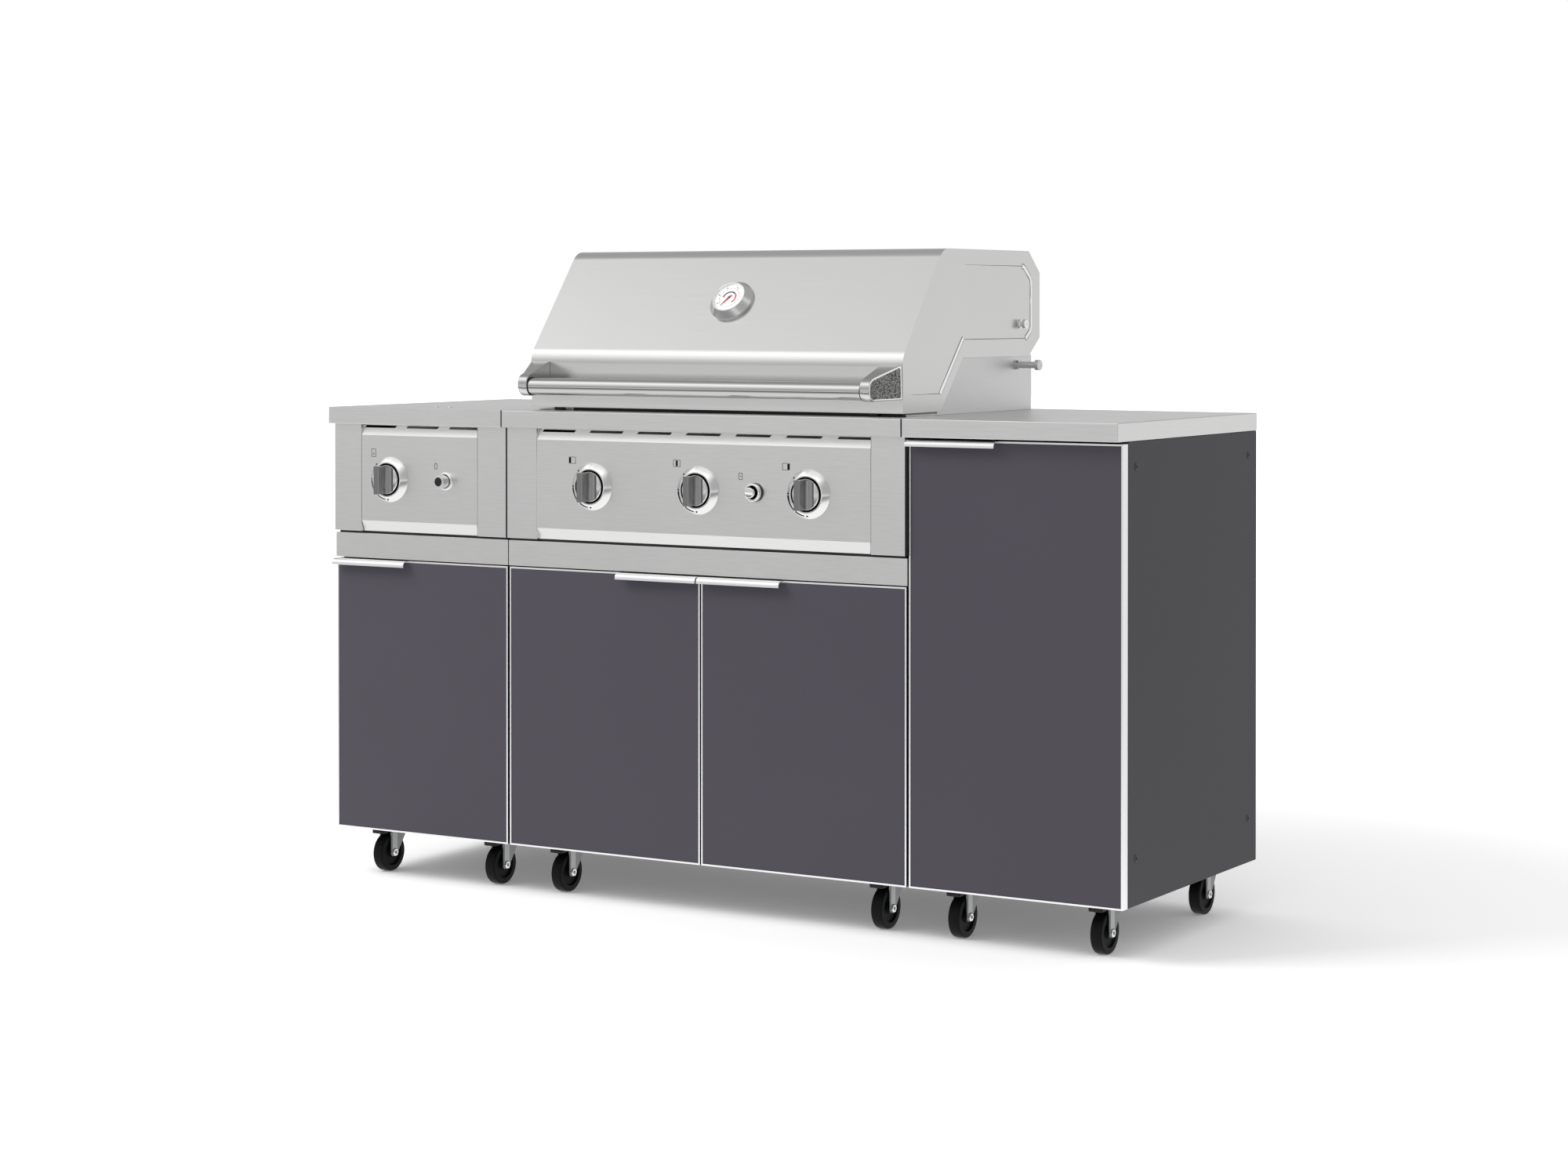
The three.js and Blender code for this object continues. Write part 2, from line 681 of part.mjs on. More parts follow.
const armX = hood.sheet + cheek.gap + cheek.thickness + arm.gap;
const upperBoltPoint = { y: pivotPoint.y + upperBolt.offset, z: pivotPoint.z + upperBolt.rise };

// Things at the left end of the hood are drawn once and mirrored to the right end
const mirrored = (solid) => solid.mirror([1, 0, 0]).translate([grillModule.width, 0, 0]);
const bothEnds = (solid) => [solid, mirrored(solid)];

const armPlate = cut(
  block(
    [hoodX[0] + armX, hoodX[0] + armX + arm.thickness],
    about(pivotPoint.y, arm.halfWidth),
    [pivotPoint.z - arm.halfWidth, upperBoltPoint.z + arm.above],
  ),
  bar(
    'x',
    [hoodX[0] + armX - overrun, hoodX[0] + armX + arm.thickness + overrun],
    longBolt.radius + running,
    pivotPoint,
  ),
);
const upperHead = hoodX[0] - upperBolt.reach;
const upperBoltSolid = joined(
  bar('x', [hoodX[0] + hood.sheet / 2, hoodX[0] + armX + arm.thickness / 2], upperBolt.boss, upperBoltPoint),
  bar('x', [upperHead, hoodX[0] + hood.sheet / 2], upperBolt.shank, upperBoltPoint),
  bar('x', [upperHead, upperHead + upperBolt.headLength], upperBolt.head, upperBoltPoint, sides.coarse),
  bar('x', [hoodX[0] - hood.sheet, hoodX[0] + hood.sheet / 2], upperBolt.head, upperBoltPoint, sides.coarse),
);
const embossField = acrossX(outline(embossCorners), [hoodX[0] - emboss.proud, hoodX[0] + hood.sheet / 2]);
const frontBumper = block(
  [hoodX[0] + bumper.inset, hoodX[0] + bumper.inset + bumper.width],
  [hoodFront + hood.sheet / 2, hoodFront + bumper.depth],
  [worktopHeight + seat, hoodBottom + hood.sheet],
);

// The gauge stands square to the slope of the hood
const slopeFoot = new THREE.Vector2(hoodFront - hood.frontLean, bendHeight);
const slopeHead = new THREE.Vector2(hoodFront + hood.slopeRun, hoodTop);
const gaugePoint = slopeFoot.clone().lerp(slopeHead, gauge.riseShare);
const slopeAngle = Math.atan2(slopeHead.y - slopeFoot.y, slopeHead.x - slopeFoot.x);
const gaugeTurn = slopeAngle + Math.PI / 2;
const gaugeHole = new THREE.CylinderGeometry(
  gauge.stem + running, gauge.stem + running, hood.sheet * 2 + overrun * 2, sides.coarse,
);
gaugeHole.rotateX(gaugeTurn).translate(grillMiddle, gaugePoint.x, gaugePoint.y);

const hoodGroup = groupAt(grillModule.group, 0);
piece(
  hoodGroup,
  'hood_shell',
  cut(
    joined(
      cut(hoodOuter, hoodInner),
      ...bothEnds(armPlate),
      ...bothEnds(upperBoltSolid),
      ...bothEnds(embossField),
      ...bothEnds(frontBumper),
    ),
    solidOf(gaugeHole),
  ),
  stainless(),
);

// Handle: a round bar between two cast brackets that widen towards the hood's corners
const handleZ = worktopHeight + handle.height;
const handleY = handle.axisInset;
const bracketBack = hoodFront - seat;
const leanPerHeight = hood.frontLean / (bendHeight - hoodBottom);
const bracketRear = (z) => [bracketBack - leanPerHeight * (z - hoodBottom), z];
const bracketSide = outline([
  bracketRear(worktopHeight + bracket.foot),
  bracketRear(worktopHeight + bracket.head),
  [handleY - handle.wall, handleZ + handle.wall, handle.wall - weldDistance],
  [handleY - handle.wall, handleZ - handle.wall, handle.wall - weldDistance],
]);
const bracketOuter = hoodX[0] + handle.endInset;
const bracketPlan = outline([
  [bracketOuter, handleFront - overrun],
  [bracketOuter + handle.noseWidth, handleFront - overrun],
  [bracketOuter + handle.noseWidth, handleY + handle.wall],
  [bracketOuter - bracket.flare + bracket.rootWidth, bracketBack + overrun],
  [bracketOuter - bracket.flare, bracketBack + overrun],
  [bracketOuter, handleY],
]);
const bracketSolid = acrossX(bracketSide, [bracketOuter - bracket.flare - overrun, grillMiddle])
  .intersect(acrossZ(bracketPlan, [worktopHeight, hoodTop]));
const handleBar = bar(
  'x',
  [bracketOuter + handle.noseWidth / 2, grillModule.width - bracketOuter - handle.noseWidth / 2],
  handle.radius,
  { y: handleY, z: handleZ },
  sides.coarse,
);
piece(hoodGroup, 'hood_handle', joined(handleBar, ...bothEnds(bracketSolid)), stainless());

const gaugeSolid = turned([
  [0, -gauge.probe],
  [gauge.stem, -gauge.probe],
  [gauge.stem, seat],
  [gauge.radius, seat],
  [gauge.radius, gauge.rim],
  [gauge.dial + gauge.lip, gauge.height],
  [gauge.dial, gauge.height],
  [gauge.dial, gauge.height - gauge.dialDepth],
  [0, gauge.height - gauge.dialDepth],
], sides.fine);
const gaugeGroup = groupAt(hoodGroup, grillMiddle, gaugePoint.x, gaugePoint.y);
gaugeGroup.rotation.x = gaugeTurn;
piece(gaugeGroup, 'hood_thermometer', gaugeSolid, chrome());

// Firebox: a funnel-bottomed box on a rim, with cheeks beside the hood and runners for the tray
function fireboxSection(inset, top) {
  const middle = (firebox.frontInset + fireboxRear) / 2;
  const knee = worktopHeight - firebox.knee;
  return outline([
    [firebox.frontInset + inset, top],
    [firebox.frontInset + inset, knee + inset / 2],
    [middle - firebox.drainRun / 2, fireboxBottom + inset],
    [middle + firebox.drainRun / 2, fireboxBottom + inset],
    [fireboxRear - inset, knee + inset / 2],
    [fireboxRear - inset, top],
  ]);
}

const fireboxMiddleY = (firebox.frontInset + fireboxRear) / 2;
const cheekX = hoodX[0] + hood.sheet + cheek.gap;
const cheekRear = islandDepth - cheek.rearInset;
const cheekTop = worktopHeight + cheek.height;
const cutSlope = (cutTop.y - cutBottom.y) / (cutTop.z - cutBottom.z);
const cheekOutline = outline([
  [cutBottom.y - cheek.lap, worktopHeight + seat],
  [cheekRear, worktopHeight + seat],
  [cheekRear, cheekTop - cheek.cornerDrop],
  [cheekRear - cheek.cornerRun, cheekTop],
  [cutTop.y - cheek.lap + cutSlope * (cheekTop - cutTop.z), cheekTop],
]);
const cheekPlate = acrossX(cheekOutline, [cheekX, cheekX + cheek.thickness]);
const boltOuter = hoodX[0] - longBolt.reach;
const longBoltSolid = joined(
  bar('x', [boltOuter, hoodX[0] + armX + arm.thickness + longBolt.inside], longBolt.radius, pivotPoint),
  bar('x', [boltOuter, boltOuter + longBolt.headLength], longBolt.head, pivotPoint, sides.coarse),
);
const rimPlate = cut(
  block(
    [cheekX, grillModule.width - cheekX],
    [firebox.frontInset - firebox.rimFront, cheekRear],
    [worktopHeight + seat, rimTop],
  ),
  block(
    [fireboxX[0] + firebox.wall, fireboxX[1] - firebox.wall],
    [firebox.frontInset + firebox.wall, fireboxRear - firebox.wall],
    through,
  ),
);
const endPlate = block(
  [fireboxX[0], fireboxX[0] + firebox.wall],
  [firebox.frontInset, fireboxRear],
  [runnerBottom, rimTop],
);
const runnerLip = block(
  [fireboxX[0], fireboxX[0] + runner.lip],
  [firebox.frontInset, fireboxRear],
  [runnerBottom, runnerBottom + runner.thickness],
);
const drainHole = block(
  about(grillMiddle, drain.width / 2),
  about(fireboxMiddleY, drain.depth / 2),
  [fireboxBottom - overrun, fireboxBottom + firebox.wall + overrun],
);
const grateSeat = worktopHeight - grate.top - grate.height - seat;
const tamerSeat = worktopHeight - tamer.below - seat;
const insideY = [firebox.frontInset + firebox.wall, fireboxRear - firebox.wall];
const ledges = [grateSeat, tamerSeat].flatMap((top) => [
  [insideY[0] - firebox.wall / 2, insideY[0] + firebox.ledge],
  [insideY[1] - firebox.ledge, insideY[1] + firebox.wall / 2],
].map((y) => block([fireboxX[0] + firebox.wall / 2, fireboxX[1] - firebox.wall / 2], y, [top - firebox.wall, top])));
const burnerHoles = grillKnobXs.map((x) => bar(
  'y',
  [firebox.frontInset - overrun, firebox.frontInset + firebox.wall + overrun],
  manifold.burner + running,
  { x, z: knobHeight },
));
piece(
  grillModule.group,
  'firebox',
  cut(
    joined(
      cut(
        acrossX(fireboxSection(0, rimTop), fireboxX),
        acrossX(
          fireboxSection(firebox.wall, rimTop + overrun),
          [fireboxX[0] + firebox.wall, fireboxX[1] - firebox.wall],
        ),
      ),
      rimPlate,
      ...bothEnds(endPlate),
      ...bothEnds(runnerLip),
      ...bothEnds(cheekPlate),
      ...bothEnds(longBoltSolid),
      ...ledges,
    ),
    drainHole,
    ...burnerHoles,
  ),
  stainless(),
);

// Cooking grate: bars along the cooking depth in one cast frame
const insideX = [fireboxX[0] + firebox.wall, fireboxX[1] - firebox.wall];
const grateX = [insideX[0] + running * 2, insideX[1] - running * 2];
const grateY = [insideY[0] + running * 2, insideY[1] - running * 2];
const grateZ = [grateSeat + seat, grateSeat + seat + grate.height];
const gratePitch = (grateX[1] - grateX[0] - grate.frame * 2 + grate.bar) / (grate.bars + 1);
const grateGaps = Array.from({ length: grate.bars + 1 }, (_, i) => {
  const start = grateX[0] + grate.frame + i * gratePitch;
  return block(
    [start, start + gratePitch - grate.bar],
    [grateY[0] + grate.frame, grateY[1] - grate.frame],
    [grateZ[0] - overrun, grateZ[1] + overrun],
  );
});
piece(grillModule.group, 'cooking_grate', cut(block(grateX, grateY, grateZ), ...grateGaps), castIron());

// Flame tamer: a folded tent over each burner, tied together at the ends where it sits on its ledges
const tamerZ = tamerSeat + seat;
const tamerY = [insideY[0] + running * 2, insideY[1] - running * 2];
const tent = (x) => acrossY(outline([
  [x - tamer.width / 2, tamerZ],
  [x, tamerZ + tamer.rise],
  [x + tamer.width / 2, tamerZ],
  [x + tamer.width / 2 - tamer.sheet * 2, tamerZ],
  [x, tamerZ + tamer.rise - tamer.sheet],
  [x - tamer.width / 2 + tamer.sheet * 2, tamerZ],
]), tamerY);
const tamerTies = [
  [tamerY[0], tamerY[0] + tamer.tie],
  [tamerY[1] - tamer.tie, tamerY[1]],
].map((y) => block(
  [grillKnobXs[0] - tamer.width / 2, grillKnobXs[2] + tamer.width / 2],
  y,
  [tamerZ, tamerZ + tamer.sheet],
));
piece(grillModule.group, 'flame_tamer', joined(...tamerTies, ...grillKnobXs.map(tent)), stainless());

// Gas manifold: a pipe with a valve behind each knob and a burner tube back into the firebox
const gasLine = { y: carcassFront + manifold.inset - door.thickness - door.front, z: knobHeight };
const valveBody = (x) => block(
  about(x, manifold.valve / 2),
  [valveFront, valveFront + manifold.valveDepth],
  about(knobHeight, manifold.valve / 2),
);
const burnerEnd = fireboxRear - firebox.wall - manifold.burnerGap;
const burnerTube = (x) => bar('y', [gasLine.y, burnerEnd], manifold.burner, { x, z: knobHeight });
const gasPipe = bar(
  'x',
  [grillKnobXs[0] - manifold.overhang, grillKnobXs[2] + manifold.overhang],
  manifold.pipe,
  gasLine,
);
piece(
  grillModule.group,
  'burner_manifold',
  joined(gasPipe, ...grillKnobXs.map(valveBody), ...grillKnobXs.map(burnerTube)),
  zinc(),
);

// Grease tray: slides out to the rear on the firebox runners
const trayY = [firebox.frontInset + tray.front, islandDepth - carcass.back + tray.wall];
const trayZ = [trayBottom, trayBottom + tray.height];
const trayShell = cut(
  block(trayX, trayY, trayZ),
  block(
    [trayX[0] + tray.wall, trayX[1] - tray.wall],
    [trayY[0] + tray.wall, trayY[1] - tray.wall],
    [trayZ[0] + tray.wall, trayZ[1] + overrun],
  ),
);
const trayTab = block(
  about(grillMiddle, tray.tabWidth / 2),
  [trayY[1] - tray.wall / 2, islandDepth - seat],
  [trayZ[0] + tray.height / 2, trayZ[0] + tray.height / 2 + tray.tabThickness],
);
piece(grillModule.group, 'grease_tray', joined(trayShell, trayTab), stainless());

// Side burner: pan under the worktop, burner with its valve and pipe, pot grate, flush lid
const panX = [lidHole.x[0] + seat, lidHole.x[1] - seat];
const panY = [lidHole.y[0] + seat, lidHole.y[1] - seat];
const panTop = worktopHeight - lid.thickness - seat;
const panBottom = worktopHeight - pan.depth;
const panFloor = panBottom + pan.wall;
const burnerY = (panY[0] + panY[1]) / 2;
const panShell = joined(
  block(panX, panY, [panBottom, panTop]),
  block(
    [panX[0] - pan.flange, panX[1] + pan.flange],
    [panY[0] - pan.flange, panY[1] + pan.flange],
    [worktopBottom - seat - pan.flangeThickness, worktopBottom - seat],
  ),
);
const panHollow = block(
  [panX[0] + pan.wall, panX[1] - pan.wall],
  [panY[0] + pan.wall, panY[1] - pan.wall],
  [panFloor, worktopHeight + overrun],
);
const riserHole = bar(
  'z',
  [panBottom - overrun, panFloor + overrun],
  sideBurner.riser + running,
  { x: sideMiddle, y: burnerY },
);
piece(sideModule.group, 'side_burner_pan', cut(panShell, panHollow, riserHole), stainless());

const headZ = panFloor + seat;
const burnerHead = turned([
  [0, 0],
  [sideBurner.cap, 0],
  [sideBurner.radius, sideBurner.height / 3],
  [sideBurner.radius, sideBurner.height * 2 / 3],
  [sideBurner.cap, sideBurner.height],
  [0, sideBurner.height],
]).rotate([90, 0, 0]).translate([sideMiddle, burnerY, headZ]);
piece(
  sideModule.group,
  'side_burner',
  joined(
    burnerHead,
    bar('z', [knobHeight - sideBurner.pipe, headZ + sideBurner.height / 2], sideBurner.riser, {
      x: sideMiddle, y: burnerY,
    }),
    bar('x', [sideKnobX - sideBurner.pipe, sideMiddle + sideBurner.pipe], sideBurner.pipe, {
      y: burnerY, z: knobHeight,
    }),
    bar('y', [valveFront + manifold.valveDepth / 2, burnerY], sideBurner.pipe, { x: sideKnobX, z: knobHeight }),
    valveBody(sideKnobX),
  ),
  castIron(),
);

const potTop = worktopHeight - potGrate.top;
const potX = about(sideMiddle, potGrate.span / 2);
const potY = about(burnerY, potGrate.span / 2);
const potFrame = cut(
  block(potX, potY, [potTop - potGrate.height, potTop]),
  block(
    [potX[0] + potGrate.bar, potX[1] - potGrate.bar],
    [potY[0] + potGrate.bar, potY[1] - potGrate.bar],
    [potTop - potGrate.height - overrun, potTop + overrun],
  ),
);
const potLegs = potX.flatMap((x, i) => potY.map((y, k) => block(
  i ? [x - potGrate.bar, x] : [x, x + potGrate.bar],
  k ? [y - potGrate.bar, y] : [y, y + potGrate.bar],
  [headZ, potTop],
)));
const potFingers = [
  block(about(sideMiddle, potGrate.bar / 2), [potY[0], potY[1]], [potTop - potGrate.height, potTop]),
  block([potX[0], potX[1]], about(burnerY, potGrate.bar / 2), [potTop - potGrate.height, potTop]),
];
const potCentre = bar(
  'z',
  [potTop - potGrate.height - overrun, potTop + overrun],
  potGrate.ring / 4,
  { x: sideMiddle, y: burnerY },
);
piece(
  sideModule.group,
  'side_burner_grate',
  joined(potFrame, ...potLegs, ...potFingers.map((finger) => cut(finger, potCentre))),
  castIron(),
);

const lidSlab = block(lidX, lidY, [worktopHeight - lid.thickness, worktopHeight]);
const lidStuds = [-1, 1].map((side) => bar(
  'z',
  [worktopHeight - lid.thickness / 2, worktopHeight + stud.height],
  stud.radius,
  { x: sideMiddle + side * lid.studs / 2, y: lidY[0] + lid.studInset },
));
piece(sideModule.group, 'side_burner_lid', joined(lidSlab, ...lidStuds), stainless());

// Casters: drawn about the swivel axis, with the axle ahead of it
const wheelRadius = caster.wheelDiameter / 2;
const cupTop = cabinetHeight - caster.plateThickness - seat;
const legInner = caster.wheelWidth / 2 + caster.legGap;
const legOuter = legInner + caster.leg;
const crownBottom = wheelRadius * 2 + caster.legGap * 4;
const crownTop = crownBottom + caster.crown;
const axleEnd = legOuter + caster.nutLength;

function forkSolid(braked) {
  const legShape = outline([
    [-caster.trail - caster.strip, crownTop],
    [-caster.trail - caster.strip, wheelRadius - caster.strip, caster.strip - weldDistance],
    [-caster.trail + caster.strip, wheelRadius - caster.strip, caster.strip - weldDistance],
    [-caster.trail + caster.strip, wheelRadius],
    [caster.heel, crownBottom],
    [caster.heel, crownTop],
  ]);
  const axleLine = { y: -caster.trail, z: wheelRadius };
  const parts = [
    acrossX(legShape, [legInner, legOuter]),
    acrossX(legShape, [-legOuter, -legInner]),
    block([-legOuter, legOuter], [-caster.trail - caster.strip, caster.heel], [crownBottom, crownTop]),
    bar('z', [crownBottom + caster.crown / 2, cupTop], caster.cup, {}),
    bar('x', about(0, legInner + caster.leg / 2), caster.axle, axleLine, sides.hex),
    bar('x', [-axleEnd, -legOuter + caster.leg / 2], caster.nut, axleLine, sides.hex),
    bar('x', [legOuter - caster.leg / 2, axleEnd], caster.nut, axleLine, sides.hex),
  ];
  const pedalRoot = -caster.trail - caster.strip;
  const pedalPlate = block(
    about(0, pedal.width / 2),
    [pedalRoot - pedal.reach, pedalRoot + caster.leg],
    [crownTop - pedal.drop - pedal.thickness / 2, crownTop - pedal.drop + pedal.thickness / 2],
  );
  return joined(...parts, ...(braked ? [pedalPlate] : []));
}

function wheelSolid() {
  const half = caster.wheelWidth / 2;
  // the flats of the faceted tread, not its corners, lie at the wheel's radius
  const treadShare = 1 / Math.cos(Math.PI / sides.coarse);
  const tyreInner = wheelRadius - caster.tyre;
  const discHalf = half - caster.discSetback;
  const profile = [
    [caster.axle + running, -discHalf],
    [tyreInner, -half],
    [(wheelRadius - caster.tread) * treadShare, -half],
    [wheelRadius * treadShare, -half + caster.tread],
    [wheelRadius * treadShare, half - caster.tread],
    [(wheelRadius - caster.tread) * treadShare, half],
    [tyreInner, half],
    [caster.axle + running, discHalf],
  ];
  return turned(closed(profile), sides.coarse, Math.PI / sides.coarse)
    .rotate([0, 0, -90])
    .translate([0, -caster.trail, wheelRadius]);
}

function addCasters(module) {
  casterPlaces(module).forEach(({ x, y, front }, i) => {
    const label = `${module.name}_${front ? 'front' : 'rear'}_${i % 2 ? 'right' : 'left'}`;
    const place = groupAt(module.group, x, y);
    piece(place, `${label}_fork`, forkSolid(front), zinc());
    piece(place, `${label}_wheel`, wheelSolid(), rubber());
  });
}

addCasters(sideModule);
addCasters(grillModule);
addCasters(storageModule);

export default island;
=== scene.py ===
# Looks of the outdoor kitchen island: brushed steel, slate doors, hood, knobs, gauge and casters.
# Sizes are millimetres from the island's left end, the worktop's front edge and the floor.
import math

import bmesh
import bpy
from mathutils import Matrix, Vector


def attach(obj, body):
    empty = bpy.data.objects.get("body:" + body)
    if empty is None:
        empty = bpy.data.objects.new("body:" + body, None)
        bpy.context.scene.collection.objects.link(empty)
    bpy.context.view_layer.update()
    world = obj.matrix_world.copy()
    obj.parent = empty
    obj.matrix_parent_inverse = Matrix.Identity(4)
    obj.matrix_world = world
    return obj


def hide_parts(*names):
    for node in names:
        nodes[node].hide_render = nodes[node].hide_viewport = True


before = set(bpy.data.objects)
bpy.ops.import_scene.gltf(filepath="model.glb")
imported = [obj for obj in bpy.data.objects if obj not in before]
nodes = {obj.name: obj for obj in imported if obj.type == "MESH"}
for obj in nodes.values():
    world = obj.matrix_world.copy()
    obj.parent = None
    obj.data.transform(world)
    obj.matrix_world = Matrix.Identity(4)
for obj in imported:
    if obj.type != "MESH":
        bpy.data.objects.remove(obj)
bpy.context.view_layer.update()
print("frame:", len(nodes), "nodes loaded")

mm = 0.001
origin = {"left": 855, "front": 295.5}
toFrame = Matrix.Scale(mm, 4) @ Matrix.Translation((-origin["left"], -origin["front"], 0))
front = Vector((0, -1, 0))
rightward = Vector((1, 0, 0))
upward = Vector((0, 0, 1))


class Wire:
    # a socket whose sums become Math nodes
    def __init__(self, sheet, socket):
        self.sheet = sheet
        self.socket = socket

    def sum(self, operation, first, second):
        return self.sheet.add("ShaderNodeMath", {"operation": operation}, {0: first, 1: second})

    def __add__(self, other):
        return self.sum("ADD", self, other)

    def __sub__(self, other):
        return self.sum("SUBTRACT", self, other)

    def __rsub__(self, other):
        return self.sum("SUBTRACT", other, self)

    def __mul__(self, other):
        return self.sum("MULTIPLY", self, other)

    def __gt__(self, other):
        return self.sum("GREATER_THAN", self, other)

    __radd__ = __add__


class Sheet:
    # a node tree under construction
    def __init__(self, tree):
        self.tree = tree
        tree.nodes.clear()

    def add(self, kind, settings=None, sockets=None, output=0):
        node = self.tree.nodes.new(kind)
        for key, value in (settings or {}).items():
            if key == "stops":
                self.setStops(node.color_ramp, value)
            else:
                setattr(node, key, value)
        for key, value in (sockets or {}).items():
            if isinstance(value, Wire):
                self.tree.links.new(value.socket, node.inputs[key])
            else:
                node.inputs[key].default_value = value
        return Wire(self, node.outputs[output]) if len(node.outputs) else None

    def setStops(self, ramp, stops):
        while len(ramp.elements) > 1:
            ramp.elements.remove(ramp.elements[-1])
        ramp.elements[0].position = stops[0][0]
        ramp.elements[0].color = grey(stops[0][1])
        for place, tone in stops[1:]:
            ramp.elements.new(place).color = grey(tone)


def grey(tone):
    # a wire stays as it is, a number or three channels become a colour
    if isinstance(tone, Wire):
        return tone
    return (tone, tone, tone, 1) if isinstance(tone, (int, float)) else (*tone, 1)


def newFinish(name):
    material = bpy.data.materials.new(name)
    material.use_nodes = True
    return material, Sheet(material.node_tree)


def spots(sheet, scale, detail=2.0, stretch=(1, 1, 1)):
    at = sheet.add("ShaderNodeTexCoord", output="Object")
    place = sheet.add("ShaderNodeMapping", None, {"Vector": at, "Scale": stretch})
    return sheet.add("ShaderNodeTexNoise", None, {"Vector": place, "Scale": scale, "Detail": detail})


def mixed(sheet, share, first, second):
    sockets = {0: share, 6: grey(first), 7: grey(second)}
    return sheet.add("ShaderNodeMix", {"data_type": "RGBA"}, sockets, output=2)


def ranged(sheet, value, start, end, first=0.0, last=1.0):
    return sheet.add("ShaderNodeMapRange", None, {0: value, 1: start, 2: end, 3: first, 4: last})


def component(sheet, vector, axis):
    return sheet.add("ShaderNodeSeparateXYZ", None, {"Vector": vector}, axis)


def closeFinish(sheet, colour, roughness, bump, **fixed):
    height, strength, distance = bump
    sockets = {"Base Color": colour, "Roughness": roughness}
    sockets.update({key.replace("_", " "): value for key, value in fixed.items()})
    sockets["Normal"] = sheet.add(
        "ShaderNodeBump", None, {"Strength": strength, "Distance": distance, "Height": height}
    )
    shader = sheet.add("ShaderNodeBsdfPrincipled", None, sockets)
    sheet.add("ShaderNodeOutputMaterial", None, {0: shader})


def brushedSteel(name, dark, light, rough, grain, streak, tint=-0.005):
    # fine lines run along the sheet: level on standing faces, lengthwise on flat ones
    material, sheet = newFinish(name)
    up = component(sheet, sheet.add("ShaderNodeTexCoord", output="Normal"), "Z")
    level = sheet.add("ShaderNodeMath", {"operation": "ABSOLUTE"}, {0: up}) > 0.8
    standing = spots(sheet, 1.0, 3.0, streak)
    lying = spots(sheet, 1.0, 3.0, (streak[0], streak[2], streak[1]))
    line = standing * (1 - level) + lying * level
    shade = line * 0.75 + spots(sheet, 5.0) * 0.25
    tones = [(tone, tone, tone + tint) for tone in (dark, light)]
    closeFinish(
        sheet, mixed(sheet, shade, *tones), rough + (line - 0.5) * 0.12, (line, grain, 0.0004), Metallic=1.0,
    )
    return material


def powderCoat(name, dark, light, rough):
    material, sheet = newFinish(name)
    grain = spots(sheet, 1400.0, 1.0)
    shade = spots(sheet, 2.5) * 0.7 + grain * 0.3
    closeFinish(
        sheet, mixed(sheet, shade, dark, light), rough + (grain - 0.5) * 0.16,
        (grain, 0.12, 0.0002), Specular_IOR_Level=0.22,
    )
    return material


def polished(name, tone, rough):
    material, sheet = newFinish(name)
    haze = spots(sheet, 160.0, 3.0)
    lower = tuple(channel * 0.975 for channel in tone)
    closeFinish(sheet, mixed(sheet, haze, lower, tone), rough + haze * 0.04, (haze, 0.012, 0.0001), Metallic=1.0)
    return material


def speckled(name, dark, light, rough, scale):
    # a coarse cast skin: bright grains in dark pits
    material, sheet = newFinish(name)
    grain = spots(sheet, scale, 1.0)
    contrast = ranged(sheet, grain, 0.36, 0.64)
    closeFinish(
        sheet, mixed(sheet, contrast, dark, light), rough + (grain - 0.5) * 0.2,
        (contrast, 0.6, 0.0008), Metallic=0.8,
    )
    return material


def roughCast(name, tone, rough, scale=900.0, metallic=0.0, depth=0.0001, strength=0.1, gloss=0.3):
    material, sheet = newFinish(name)
    pit = spots(sheet, scale, 4.0)
    worn = tuple(channel * 1.5 + 0.004 for channel in tone)
    closeFinish(
        sheet, mixed(sheet, pit, tone, worn), rough + (pit - 0.5) * 0.2,
        (pit, strength, depth), Metallic=metallic, Specular_IOR_Level=gloss,
    )
    return material


def lensFinish(name, share):
    material, sheet = newFinish(name)
    smear = spots(sheet, 90.0)
    closeFinish(sheet, mixed(sheet, smear, 0.9, 1.0), 0.03 + smear * 0.04, (smear, 0.01, 0.0001), Alpha=share)
    return material


